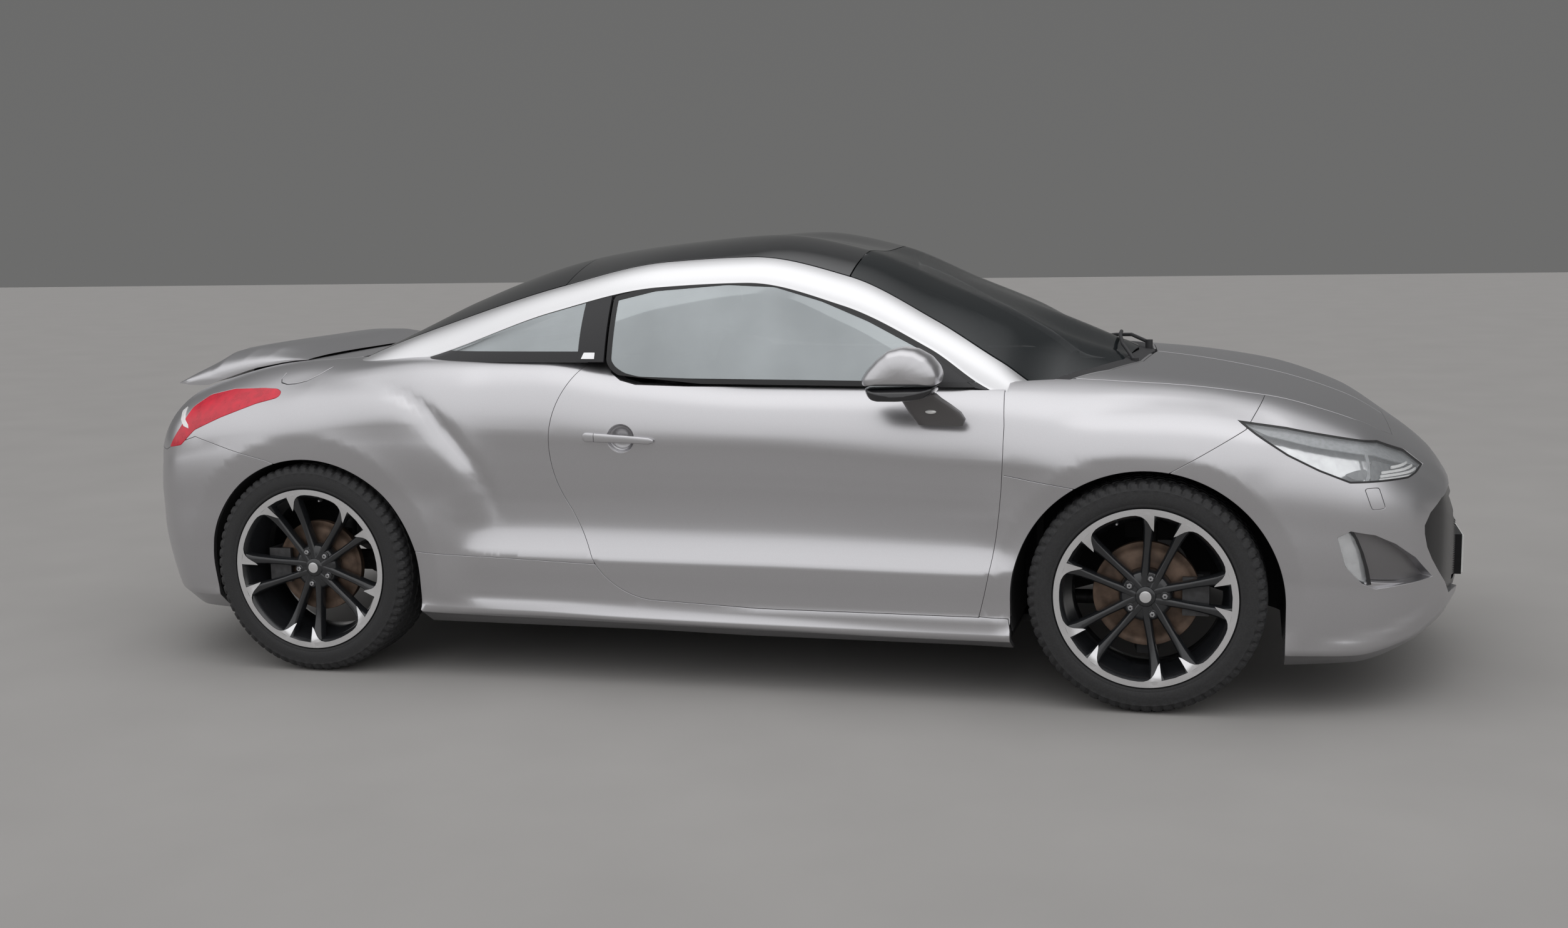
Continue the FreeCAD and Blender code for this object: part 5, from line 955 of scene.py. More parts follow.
UPPER = (
    ("roof_arches", "car", (-1330, 1000), (1.0, 2.0), arch_silver, seal_black, ["roof_arches"], (), (),
     dict(depth=26.0, slot="silver_trim", step=(14.0, 0.08), hem=0.8)),
    ("roof_panel", "car", (ROOF_END, ROOF_HEADER), ROOF_ROWS, roof_black, trim_black, ["roof_panel"], (), (),
     dict(depth=14.0, slot="black_gloss", step=(16.0, 0.08))),
    ("windscreen", "car", (334, 1165), ROOF_ROWS, screen_glass, None, ["windscreen"],
     [Region(SCREEN_PLAN, "plan")], (), SCREEN),
    ("rear_window", "tailgate", (-1342, ROOF_END - 6), ROOF_ROWS, dark_glass, trim_black, ["rear_window"],
     [Region(REAR_GLASS_PLAN, "plan")], (), SCREEN),
    ("door_glass", "door_{}", (-400, 770), (0.0, 1.0), side_glass, None, ["door_glass_{}"],
     [Region(DOOR_WINDOW, margin=2.0, **WINDOW_SOFT)], (), dict(pair=True, **PANE)),
    ("door_glass_band", "door_{}", (-400, 770), (0.0, 1.0), seal_black, None, (),
     [Region(DOOR_WINDOW, margin=0.5, **WINDOW_SOFT)], [Region(DOOR_WINDOW, margin=15.0, **WINDOW_SOFT)],
     dict(depth=5.0, lift=-0.4, pair=True, **TRIM)),
    ("mirror_panel", "door_{}", (618, 770), (0.0, 1.0), trim_black, None, (),
     [Region(DOOR_WINDOW, margin=14.0, **WINDOW_ROWS)], (), dict(depth=6.0, lift=-0.2, pair=True, **TRIM)),
    ("quarter_windows", "car", (-1050, -452), (0.0, 0.985), side_glass, None, ["quarter_windows"],
     [Region(QUARTER_WINDOW, **WINDOW_ROWS)], (), PANE),
    ("quarter_bands", "car", (-1050, -452), (0.0, 0.985), trim_black, None, (),
     [Region(QUARTER_BAND, **WINDOW_ROWS)], (), dict(lift=-0.3, **TRIM)),
    ("pillar_covers", "car", (-486, -402), (0.0, 0.985), trim_black, seal_black, ["door_pillars"],
     [Region(PILLAR, **WINDOW_ROWS)], (),
     dict(depth=12.0, slot="black_trim", lift=0.4, hem=0.9, step=(14.0, 0.1))),
    ("pillar_badge", "car", (-478, -428), (0.0, 0.3), bright_chrome, None, (),
     [Region(BADGE_PLACE, **WINDOW_ROWS)], (), dict(depth=2.0, lift=2.4, hem=0.8, step=(10.0, 0.05))),
)
for name, ride_on, x_range, s_range, outer, inner, nodes, keep, cut, more in UPPER:
    panel(name, ride_on, roof, x_range, s_range, outer, inner, nodes, keep, cut, **more)

# Plain meshes, y counted outwards from the middle plane


def plain(name, verts, faces, materials, ride_on, nodes=(), slots=None, angle=35.0, middle=False, slot=None):
    """Closed mesh with smooth shading up to an angle, as a right and a left piece or one in the middle."""
    made = []
    for side, sign in ((None, 1),) if middle else (("right", -1), ("left", 1)):
        order = [tuple(int(q) for q in f) for f in faces]
        if sign < 0:
            order = [f[::-1] for f in order]
        mesh = bpy.data.meshes.new(name)
        mesh.from_pydata((np.array(verts, float) * (1, sign, 1) * MM).tolist(), [], order)
        for m in materials:
            mesh.materials.append(m)
        if slots is not None:
            mesh.polygons.foreach_set("material_index", list(slots))
        form = bmesh.new()
        form.from_mesh(mesh)
        bmesh.ops.recalc_face_normals(form, faces=form.faces)
        form.to_mesh(mesh)
        form.free()
        mesh.polygons.foreach_set("use_smooth", [True] * len(mesh.polygons))
        mesh.set_sharp_from_angle(angle=math.radians(angle))
        mesh.update()
        item = bpy.data.objects.new(f"{name}_{side}" if side else name, mesh)
        bpy.context.scene.collection.objects.link(item)
        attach(item, ride_on.format(side))
        if nodes:
            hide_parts(*[node.format(side) for node in nodes])
        made.append(item)
    return made


def loft(rings, close=True, caps=True):
    """Vertices and faces through rings of the same number of points."""
    count = len(rings[0])
    faces = []
    for k in range(len(rings) - 1):
        for n in range(count if close else count - 1):
            m = (n + 1) % count
            faces.append((k * count + n, k * count + m, (k + 1) * count + m, (k + 1) * count + n))
    if caps:
        faces.append(tuple(range(count))[::-1])
        faces.append(tuple((len(rings) - 1) * count + n for n in range(count)))
    return np.vstack(rings), faces


def lathe(profile, count):
    """Closed profile of (radius, outwards) turned about the wheel's axis."""
    t = np.arange(count) * 2 * math.pi / count
    rings = [np.c_[r * np.cos(t), np.full(count, w), r * np.sin(t)] for r, w in profile]
    return loft(rings + rings[:1], True, False)


def joined(parts):
    """One mesh from several (verts, faces, slot) parts."""
    verts, faces, slots = [], [], []
    count = 0
    for v, f, slot in parts:
        verts.append(np.asarray(v, float))
        faces += [tuple(int(q) + count for q in g) for g in f]
        slots += [slot] * len(f)
        count += len(v)
    return np.vstack(verts), faces, slots


def sheet_of(outline, heights, thick):
    """Plate over a plane outline, its top at heights(u, v), and the number of faces in the top."""
    ring = np.asarray(outline, float)
    count = len(ring)
    around = [(n, (n + 1) % count) for n in range(count)]
    out = delaunay_2d_cdt([Vector(p) for p in ring], around, [], 1, 1e-5)
    flat = np.array([tuple(v) for v in out[0]])
    tris = [tuple(f) for f in out[2]]
    top = np.c_[flat, heights(flat[:, 0], flat[:, 1])]
    n = len(flat)
    faces = tris + [tuple(n + q for q in f[::-1]) for f in tris]
    faces += [(b, a, n + a, n + b) for a, b in open_edges(tris)]
    return np.vstack([top, top - (0, 0, thick)]), faces, len(tris)


# Wheels: local x forwards, z up, second coordinate outwards

wheel_black = grained(
    "wheel_black", (0.016, 0.017, 0.019), 0.1, 0.22, 120.0, 0.2, Coat_Weight=0.5, Coat_Roughness=0.15
)
wheel_silver = grained("machined_silver", (0.82, 0.82, 0.83), 0.95, 0.24, 700.0, 0.04, 0.04, 0.0001, 2.0)
rubber = grained("tyre_rubber", (0.022, 0.022, 0.023), 0.0, 0.72, 220.0, 0.3, 0.25, 0.0006)
rust = grained("disc_rust", (0.125, 0.085, 0.062), 0.6, 0.5, 24.0, 0.45, 0.1, 0.0004)
disc_steel = grained("disc_hub", (0.10, 0.075, 0.06), 0.6, 0.55, 40.0, 0.4)
bolt_steel = grained("bolt_steel", (0.45, 0.45, 0.46), 0.9, 0.35, 200.0, 0.1)

RIM_FACE, BARREL_SIDES, PAIRS = 114.0, 180, 5
# Inner edge of the bright face from the middle of a pair of spokes to half way to the next: radius, degrees
FACE_EDGE = (
    (239.5, 0.0), (239.5, 9.3), (222, 9.0), (205, 8.7), (192, 8.4), (198, 10.2), (209, 12.1), (220, 13.9),
    (229, 16.0), (235, 18.3), (239, 21.5), (240, 25.0), (240, 30.0), (240, 36.0),
)
SPOKE_TOP = (
    (30, 82), (60, 80), (110, 84), (150, 89), (185, 96), (209, 104), (229, 111.5), (238, RIM_FACE),
    (260, RIM_FACE),
)


# A wheel bolt's steps from its seat upwards: radius, foot, top, finish, number of sides
BOLT_STEPS = ((12.5, 66, 81.5, 0, 20), (8.2, 76, 86.5, 3, 6), (3.4, 84, 87.2, 0, 20))
BOLT_CIRCLE = 54


def face_height(u, v):
    """Height of the bright face over the wheel's middle plane."""
    return np.interp(np.hypot(u, v), *zip(*SPOKE_TOP)) + 0.6


def turned_by(verts, angle):
    """Points turned about the wheel's axis, in degrees."""
    c, s = math.cos(math.radians(angle)), math.sin(math.radians(angle))
    verts = np.asarray(verts, float)
    return np.c_[verts[:, 0] * c - verts[:, 2] * s, verts[:, 1], verts[:, 0] * s + verts[:, 2] * c]


SPOKE_STEPS = (24, 52, 80, 115, 150, 180, 200, 215, 228, 238)
SPOKE_HALF = ((24, 12), (52, 12.5), (110, 10.5), (170, 12), (200, 15), (228, 22), (240, 27))


def spoke(side):
    """One spoke of a pair that points along local x: rings of a bevelled section."""
    rings = []
    for u in SPOKE_STEPS:
        v = side * (17.5 + (u - 52) * 0.193)
        half = np.interp(u, *zip(*SPOKE_HALF))
        top = np.interp(u, *zip(*SPOKE_TOP))
        cross = (
            (-half - 1.5, top - 30), (-half - 0.5, top - 9), (-half + 4.5, top - 1), (-half + 7, top),
            (half - 7, top), (half - 4.5, top - 1), (half + 0.5, top - 9), (half + 1.5, top - 30),
        )
        rings.append(np.array([(u, w, v + q) for q, w in cross]))
    return loft(rings)


def wheel_rim(first):
    """Parts of a wheel: barrel, bright face, spokes, bolts, hub and valve, the first pair at an angle."""
    parts = []
    barrel = (
        (239.6, RIM_FACE - 1), (240, RIM_FACE), (256.6, RIM_FACE), (257.5, RIM_FACE - 1), (257.5, 105),
        (237, 103),
        (236.5, 60), (222, 40), (222, -60), (236.5, -80), (237, -103), (257.5, -105), (257.5, -113),
        (248, -114),
        (226, -96), (212, -60), (212, 40), (226, 66), (228, 92), (233, 104),
    )
    verts, faces = lathe(barrel, BARREL_SIDES)
    parts.append((verts, faces[:BARREL_SIDES] + faces[2 * BARREL_SIDES :], 0))
    parts.append((verts, faces[BARREL_SIDES : 2 * BARREL_SIDES], 1))
    half = [(r * math.cos(math.radians(a)), r * math.sin(math.radians(a))) for r, a in FACE_EDGE]
    rim_arc = [(256.4 * math.cos(a), 256.4 * math.sin(a)) for a in np.radians(np.linspace(36, 0, 13))]
    ring = np.array([q for n, q in enumerate(half) if n] + rim_arc + half[:1])
    verts, faces, tops = sheet_of(ring, face_height, 7.0)
    plate = verts[:, [0, 2, 1]]
    for pair in range(PAIRS):
        turn = first + 360 / PAIRS * pair
        for side in (-1, 1):
            mirrored = plate * (1, 1, side)
            order = [f[::-1] for f in faces] if side > 0 else faces
            parts.append((turned_by(mirrored, turn), order[:tops], 1))
            parts.append((turned_by(mirrored, turn), order[tops:], 0))
            v, f = spoke(side)
            parts.append((turned_by(v, turn), f, 0))
        for radius, low, high, slot, sides in BOLT_STEPS:
            step = (radius, low), (radius, high - 1.2), (radius - 1.2, high), (0.01, high), (0.01, low)
            v, f = lathe(step, sides)
            parts.append((turned_by(v + (BOLT_CIRCLE, 0, 0), turn), f, slot))
    hub = (
        (0.01, 88.5), (12, 88.3), (20, 87.4), (26, 85.6), (28.5, 83), (30, 80.5), (38, 80), (56, 79),
        (68, 74),
        (75, 62), (76, 30), (0.01, 30),
    )
    v, f = lathe(hub, 60)
    parts.append((v, f, 0))
    v, f = lathe(((0.01, 89.6), (13, 89.3), (16.5, 88.6), (17, 87), (0.01, 86)), 48)
    parts.append((v, f, 1))
    v, f = lathe(((4.0, 96), (4.0, 112), (2.6, 114), (0.01, 114), (0.01, 96)), 12)
    parts.append((turned_by(v + (224, -10, 0), first + 36), f, 3))
    return parts


def brake_disc(radius):
    """Disc with its hub, behind the spokes."""
    outer = (
        (78, 40), (radius - 28, 40), (radius - 27, 39.4), (radius - 14, 39.4), (radius - 13, 40),
        (radius - 1, 40),
        (radius, 39), (radius, 19), (radius - 1, 18), (78, 18),
    )
    v, f = lathe(outer, 96)
    w, g = lathe(((30, 64), (62, 64), (68, 61), (70, 55), (77.5, 41), (77.5, 19), (30, 19)), 72)
    return [(v, f, 2), (w, g, 4)]


TYRE_HALF = (
    (259.5, 108), (261.5, 113.5), (266, 115.4), (270, 115.2), (272, 116.4), (285, 117.3), (299, 116.6),
    (308, 114.8),
    (309.5, 115.3), (315, 112.8), (320, 110.0), (326, 105.5), (330.5, 99), (333, 91), (334, 82), (334.6, 70),
    (334.7, 66), (328, 64.5), (328, 58), (334.8, 56.5), (335, 42), (335, 26), (328.5, 24.5), (328.5, 17),
    (335, 15.5), (335, 0),
)


TREAD_BLOCKS, SIDES_EACH = 66, 6


def tyre_mesh():
    """Tyre with slanted grooves across its shoulders."""
    count = TREAD_BLOCKS * SIDES_EACH
    half = np.array(TYRE_HALF)
    profile = np.vstack([half, half[-2::-1] * (1, -1), [(240, -100), (240, 100)]])
    t = np.arange(count) * 2 * math.pi / count
    rings = []
    for r, w in profile:
        turn = t * TREAD_BLOCKS / (2 * math.pi)
        lean = np.interp(abs(w), (0, 60, 112), (0.0, 0.3, 1.0)) * (1 if w > 0 else -1)
        phase = (turn + lean) % 1.0
        cut = (np.minimum(phase, 1 - phase) < 0.17).astype(float)
        deep = 5.5 * np.interp(r, (312, 321), (0, 1)) * (1 if r > 312 else 0)
        deep *= 0.5 if abs(w) < 60 else 1.0
        radius = r - deep * cut
        out = np.sign(w) * (abs(w) - cut * np.interp(r, (308, 316, 330), (0, 3.5, 1.0)) * (r > 300))
        rings.append(np.c_[radius * np.cos(t), out, radius * np.sin(t)])
    return loft(rings + rings[:1], True, False)


tyre_verts, tyre_faces = tyre_mesh()
# Axle, its place, the wheels' distance from the middle, angle of the first pair of spokes, radius of the disc
WHEELS = (("front", FRONT_AXLE, 790.0, 75.0, 151.0), ("rear", REAR_AXLE, 796.5, 43.0, 145.0))
for axle, x, y, first, disc_radius in WHEELS:
    verts, faces, slots = joined(wheel_rim(first) + brake_disc(disc_radius))
    place = np.array((x, y, AXLE_HEIGHT))
    body_name = f"wheel_{axle}_{{}}"
    plain(
        f"wheel_{axle}_rim", verts + place, faces, [wheel_black, wheel_silver, rust, bolt_steel, disc_steel],
        body_name, [f"rim_{axle}_{{}}"], slots, 40.0, slot="wheel",
    )
    plain(
        f"wheel_{axle}_tyre", tyre_verts + place, tyre_faces, [rubber], body_name, [f"tyre_{axle}_{{}}"],
        angle=30.0, slot="tyre",
    )

# Wheel arch liners and the dark part of the nose

liner_black = grained("liner_felt", (0.012, 0.012, 0.013), 0.0, 0.95, 160.0, 0.3, 0.3, 0.001)


LINER_SIDES, LINER_TURN = 60, (-14, 194)


def arch_liner(axle, radius, deep_at):
    """Half tunnel over a wheel, from behind the arch's edge inwards, closed by a wall."""
    ring = []
    for t in np.radians(np.linspace(*LINER_TURN, LINER_SIDES)):
        x, z = axle + (radius + 4) * math.cos(t), ARCH_HEIGHT + (radius + 4) * math.sin(t)
        edge = float(body.point([x], [body.param_of(x, max(z, 190.0), 2, 0.6, 5.6)])[0, 1]) - 9.0
        ring.append((x, z, edge))
    ring = np.array(ring)
    x, z, edge = ring.T
    deep = np.full(LINER_SIDES, deep_at)
    wall = ring[:, :2] * 0.28 + np.array((axle, AXLE_HEIGHT)) * 0.72
    rows = [
        np.c_[x, edge, z], np.c_[x, deep + 10, z],
        np.c_[x * 0.97 + axle * 0.03, deep, z * 0.97 + AXLE_HEIGHT * 0.03],
        np.c_[wall[:, 0], deep, wall[:, 1]],
    ]
    back = [rows[3] - (0, 3, 0), rows[2] - (0, 3, 0)]
    lifted = ring[:, :2] + (ring[:, :2] - (axle, AXLE_HEIGHT)) * 0.008
    back += [np.c_[lifted[:, 0], y, lifted[:, 1]] for y in (deep, edge)]
    verts, faces = loft(rows + back + rows[:1], False, False)
    count = len(rows + back)
    first = [k * LINER_SIDES for k in range(count)]
    faces += [tuple(first), tuple(k + LINER_SIDES - 1 for k in first)[::-1]]
    return verts, faces


LINERS = (("front", FRONT_AXLE, FRONT_ARCH, 470.0), ("rear", REAR_AXLE, REAR_ARCH, 560.0))
for axle, place, radius, deep_at in LINERS:
    plain(f"liner_{axle}", *arch_liner(place, radius, deep_at), [liner_black], "car", angle=40.0)
panel(
    "grille_surround", "car", body, (1940, BODY_NOSE), (0, 7), grille_black, None, (),
    [Region(MOUTH_SIDE, margin=-8.0, low=0, high=7)],
    [Both(Limit(1, 396, False), Limit(2, 285), Limit(2, 570, False))], depth=10.0, lift=-12.0,
    step=(12.0, 0.08),
)

# Lamps

lens_clear, lens_shader = principled("lamp_lens", (0.80, 0.83, 0.85), 0.0, 0.04, Alpha=0.12, Coat_Weight=0.6)
grain(lens_clear, lens_shader, 12.0, (0.74, 0.77, 0.79), (0.86, 0.89, 0.91))
lamp_silver = grained("lamp_reflector", (0.88, 0.89, 0.90), 0.9, 0.22, 45.0, 0.06, 0.35, 0.003, 1.0)
lamp_grey = grained("lamp_housing", (0.30, 0.31, 0.32), 0.5, 0.35, 90.0, 0.15)
lamp_red = grained(
    "lamp_red", (0.60, 0.006, 0.030), 0.0, 0.28, 30.0, 0.2, Coat_Weight=0.25, Coat_Roughness=0.05
)
lamp_white = grained("lamp_white", (0.85, 0.85, 0.84), 0.2, 0.15, 50.0, 0.05)
lamp_dark = grained("lamp_chamber", (0.16, 0.165, 0.17), 0.6, 0.3, 60.0, 0.2)
# Body paint darkened to 0.24: painted shade inside the fog lamp recess
recess_painted_shade = grained("recess_painted_shade", (0.24, 0.235, 0.24), 0.8, 0.4, 1400.0, 0.08, 0.03, 0.0002, 2.0)
LAMP_SHELL = dict(step=(16.0, 0.1), hem=0.4)
panel(
    "headlamp_lens", "car", body, (1460, 2010), (1, 6.2), lens_clear, None, (),
    [on_side(HEADLAMP, margin=0.6)],
    [bonnet_hole], depth=3.0, slot="lamp_clear", **LAMP_SHELL,
)
panel(
    "headlamp_bowl", "car", body, (1460, 2010), (1, 6.2), lamp_silver, lamp_grey, ["headlamps"],
    [on_side(HEADLAMP, margin=0.2)], [bonnet_hole], lift=-26.0, **LAMP_SHELL,
)


def lamp_piece(name, outline, material, lift, depth=4.0, cut=(), soften=0.0):
    """Small piece behind or on the headlamp's lens."""
    panel(
        name, "car", body, (1470, 2010), (1, 6.2), material, None, (), [on_side(outline, soften=soften)],
        [bonnet_hole, *cut], depth, lift=lift, step=(14.0, 0.09), hem=0.6,
    )


LAMP_BAND = (
    (1500, 826), (1610, 812), (1858, 760), (1939, 720), (1985, 682), (1930, 704), (1850, 736), (1685, 768),
    (1560, 800),
)
LAMP_CHAMBER = ((1768, 692), (1800, 702), (1828, 704), (1832, 678), (1800, 676))
LAMP_DIVIDER = (
    (1824, 742), (1832, 741), (1838, 712), (1838, 680), (1828, 664), (1822, 664), (1830, 690), (1831, 714),
)
LAMP_FRONT = ((1850, 728), (1930, 700), (1980, 676), (1968, 668), (1846, 668))
LAMP_RIBS = ((1872, 1966, 690), (1868, 1976, 681), (1866, 1974, 672), (1900, 1950, 700))
lamp_piece("headlamp_seal", HEADLAMP, seal_black, 0.5, 3.0, [on_side(HEADLAMP, margin=3.6)])
lamp_piece("headlamp_band", LAMP_BAND, lamp_grey, -8.0)
lamp_piece("headlamp_chamber", LAMP_CHAMBER, lamp_dark, -10.0, soften=8)
lamp_piece("headlamp_divider", LAMP_DIVIDER, lamp_grey, -8.0)
for n, (x0, x1, z) in enumerate(LAMP_RIBS):
    bar = ((x0, z - 3.2), (x1, z - 3.6), (x1, z + 0.6), (x0, z + 3.0))
    lamp_piece(f"headlamp_rib_{n}", bar, lamp_white, -8.0)
lamp_piece("headlamp_front", LAMP_FRONT, lamp_dark, -16.0, soften=6)

TAIL_INSERT = (
    (-1866, 826), (-1856, 800), (-1836, 782), (-1812, 776), (-1818, 786), (-1836, 800), (-1848, 818),
    (-1852, 838),
)
panel(
    "tail_lamps", "car", body, (-1915, -1460), (1, 6.2), lamp_red, None, ["tail_lamps"],
    [on_side(TAIL_LAMP, margin=0.8, soften=12)], [lid_hole], depth=16.0, slot="lamp_red", step=(14.0, 0.08),
    hem=1.6, lift=1.0,
)
panel(
    "tail_lamp_inserts", "car", body, (-1880, -1800), (1, 6.2), lamp_white, None, (), [on_side(TAIL_INSERT)],
    depth=3.0, step=(8.0, 0.05), hem=1.0, lift=2.4,
)

# Fog lamps in their recess: name, range of x, outline with its margin, finishes, depth, lift, hem, step

FOG_SHELF = ((1822, 372), (1840, 382), (1930, 370), (2018, 366), (2012, 356), (1940, 350), (1850, 356))
FOG_LAMP = (
    (1750, 514), (1764, 526), (1782, 531), (1796, 514), (1812, 478), (1826, 430), (1836, 380), (1818, 386),
    (1790, 414), (1762, 458),
)
FOG_DIVIDER = (
    (1782, 533), (1792, 533), (1806, 508), (1822, 470), (1836, 424), (1846, 378), (1836, 378), (1826, 430),
    (1812, 478), (1796, 514),
)
FOG_FINE = (8.0, 0.05)
FOG_PIECES = (
    ("fog_shelf", (1800, 2030), FOG_SHELF, 0.0, paint, None, 16.0, -10.0, 2.0, (10.0, 0.06)),
    ("fog_recess", (1720, 2040), FOG_RECESS, -3.0, recess_painted_shade, None, 4.0, -30.0, 0.5, (12.0, 0.08)),
    ("fog_lamps", (1730, 1850), FOG_LAMP, 1.0, lens_clear, None, 3.0, -9.0, 0.8, FOG_FINE),
    ("fog_bowls", (1730, 1850), FOG_LAMP, 0.5, lamp_silver, lamp_grey, 14.0, -22.0, 0.8, FOG_FINE),
    ("fog_dividers", (1770, 1860), FOG_DIVIDER, 0.0, gloss_black, None, 24.0, -6.0, 0.8, FOG_FINE),
)
for name, x_range, outline, margin, outer, inner, depth, lift, hem, step in FOG_PIECES:
    recess = name == "fog_recess"
    panel(
        name, "car", body, x_range, (1, 4.5), outer, inner, ["fog_lamps"] if recess else (),
        [Region(outline, margin=margin, low=1, high=4.5)],
        [Region(FOG_LAMP, low=1, high=4.5)] if recess else (),
        depth, step, lift=lift, hem=hem, slot="body_paint" if recess else None,
    )

# Mirrors, door handles, rear wing and the rear end's cap


def ring_loft(outline, layers):
    """Rings of an x, z outline at places across, each scaled about a centre: (across, scale, dx, dz)."""
    outline = np.asarray(outline, float)
    centre = outline.mean(0)
    rings = []
    for across, scale, dx, dz in layers:
        xz = centre + (outline - centre) * scale + (dx, dz)
        rings.append(np.c_[xz[:, 0], np.full(len(xz), across), xz[:, 1]])
    return rings


MIRROR_TOP = (
    (450, 942), (446, 962), (462, 986), (490, 1016), (522, 1040), (562, 1049), (602, 1043), (640, 1022),
    (664, 994),
    (672, 972), (668, 950), (663, 944),
)
MIRROR_LOW = (
    (453, 936), (663, 941), (658, 924), (640, 911), (610, 905), (554, 901), (480, 901), (466, 906),
    (458, 920),
)
MIRROR_LAYERS = (
    (902, 0.86, 6, -1), (908, 0.95, 2, 0), (920, 0.99, 0, 0), (950, 1.0, 0, 0), (985, 0.995, 0, 0),
    (1006, 0.97, 0, -1),
    (1020, 0.90, 0, -3), (1029, 0.76, -2, -6), (1034, 0.52, -3, -9), (1036, 0.25, -4, -10),
)
verts, faces = loft(ring_loft(rounded(MIRROR_TOP, 10), MIRROR_LAYERS))
plain("mirror_cap", verts, faces, [paint], "door_{}", ["mirror_{}"], angle=60.0, slot="body_paint")
low_layers = [(across, scale * 0.98, dx, dz) for across, scale, dx, dz in MIRROR_LAYERS]
verts, faces = loft(ring_loft(rounded(MIRROR_LOW, 6), low_layers))
plain("mirror_base", verts, faces, [gloss_black], "door_{}", angle=60.0)
ARM_RINGS = (
    (819, (590, 722), (884, 904)), (838, (578, 728), (882, 914)), (858, (566, 716), (884, 926)),
    (880, (556, 690), (892, 940)), (900, (548, 662), (902, 956)), (914, (544, 648), (910, 968)),
)
rings = []
for z, (x0, x1), (y0, y1) in ARM_RINGS:
    box = rounded(((x0, y0), (x1, y0), (x1, y1), (x1 - 18, y1 + 3), (x0 + 18, y1 - 2), (x0, y1 - 12)), 12)
    rings.append(np.c_[box, np.full(len(box), z)])
even = min(len(r) for r in rings)
rings = [r[np.linspace(0, len(r), even, endpoint=False).astype(int)] for r in rings]
# Body paint darkened to 0.16: painted shade on the mirror arm under the mirror cap
arm_painted_shade = grained("arm_painted_shade", (0.16, 0.155, 0.155), 0.6, 0.42, 1200.0, 0.1, 0.05, 0.0002, 2.0)
plain("mirror_arm", *loft(rings), [arm_painted_shade], "door_{}", angle=50.0)
ROUND = np.linspace(0, 2 * math.pi, 20, endpoint=False)
blob = []
for t in np.linspace(0, math.pi, 9):
    wide = math.sin(t)
    blob.append(np.c_[np.full(20, -16 * math.cos(t)), 5 * wide * np.cos(ROUND), 6 * wide * np.sin(ROUND)])
blob[0][:, 1:] = blob[1][:, 1:] * 0.02
blob[-1][:, 1:] = blob[-2][:, 1:] * 0.02
verts, faces = loft(blob)
plain("mirror_repeater", verts + (634, 931, 862), faces, [lamp_white], "door_{}")

HANDLE_Z = ((-440, 770), (-400, 769), (-300, 766), (-215, 760))
HANDLE_START, HANDLE_LONG = -440, 225


def handle_bar(x0, x1):
    """A part of the handle's bar: rounded sections along x."""
    rings = []
    for x in np.linspace(x0, x1, 15):
        t = (x - HANDLE_START) / HANDLE_LONG
        z = np.interp(x, *zip(*HANDLE_Z))
        out = 893 + 8 * math.sin(math.pi * min(max(t, 0.0), 1.0))
        ends = min(1.0, math.sqrt(max(0.0, min(x + 441, -214 - x)) / 12.0) + 0.12)
        high = np.interp(t, (0, 1), (14.5, 9.5)) * ends
        deep = 7.5 * (0.5 + 0.5 * ends)
        c, s = np.cos(ROUND), np.sin(ROUND)
        y = out - 4 + deep * np.sign(c) * np.abs(c) ** 0.45
        rings.append(np.c_[np.full(20, x), y, z + high * np.sign(s) * np.abs(s) ** 0.6])
    return loft(rings)


verts, faces, slots = joined([handle_bar(-440, -402.6) + (0,), handle_bar(-401, -215) + (0,)])
plain("door_handle", verts, faces, [paint], "door_{}", (), slots, 55.0)
cup_rings = []
for share, deep in ((1.03, -1.2), (0.97, 0.4), (0.92, 6), (0.86, 12), (0.72, 17), (0.45, 19), (0.1, 19.5)):
    x = CUP_X + CUP_RADIUS * share * np.cos(CUP_TURN)
    z = CUP_Z + CUP_RADIUS * share * np.sin(CUP_TURN)
    y = np.array([float(body.point([p], [body.param_of(p, q, 2, 1.0, 6.0)])[0, 1]) for p, q in zip(x, z)])
    cup_rings.append(np.c_[x, y - deep, z])
back_rings = [r - (0, 2.0, 0) for r in cup_rings[::-1]]
cup_verts, cup_faces = loft(cup_rings + back_rings + cup_rings[:1], True, False)
plain("handle_cup", cup_verts, cup_faces, [paint], "door_{}", angle=50.0)

# Rear wing: its outline on the car's middle plane, and the places of its sections across
WING_TOP = (
    (-2030, 911), (-1990, 938), (-1945, 960), (-1860, 999), (-1757, 1013), (-1657, 1013), (-1558, 1001),
    (-1473, 991),
)
WING_LOW = ((-1583, 984), (-1728, 960), (-1849, 926), (-1915, 900), (-1975, 896))
WING_Y = (-565, -561, -550, -535, -515, -490, -470, -450, -380, -280, -160, 0)
WING_NOSE, WING_HALF = -1473, 565
# Heights that the wing is thinned towards, and the raised middle of its top
WING_BASE = ((-2030, 905), (-1915, 900), (-1728, 958), (-1583, 984), (-1473, 990))
WING_RISE = ((-1950, 0), (-1880, 5), (-1700, 5), (-1600, 0))
wing = rounded(np.array(WING_TOP + WING_LOW, float)[::-1], 7)


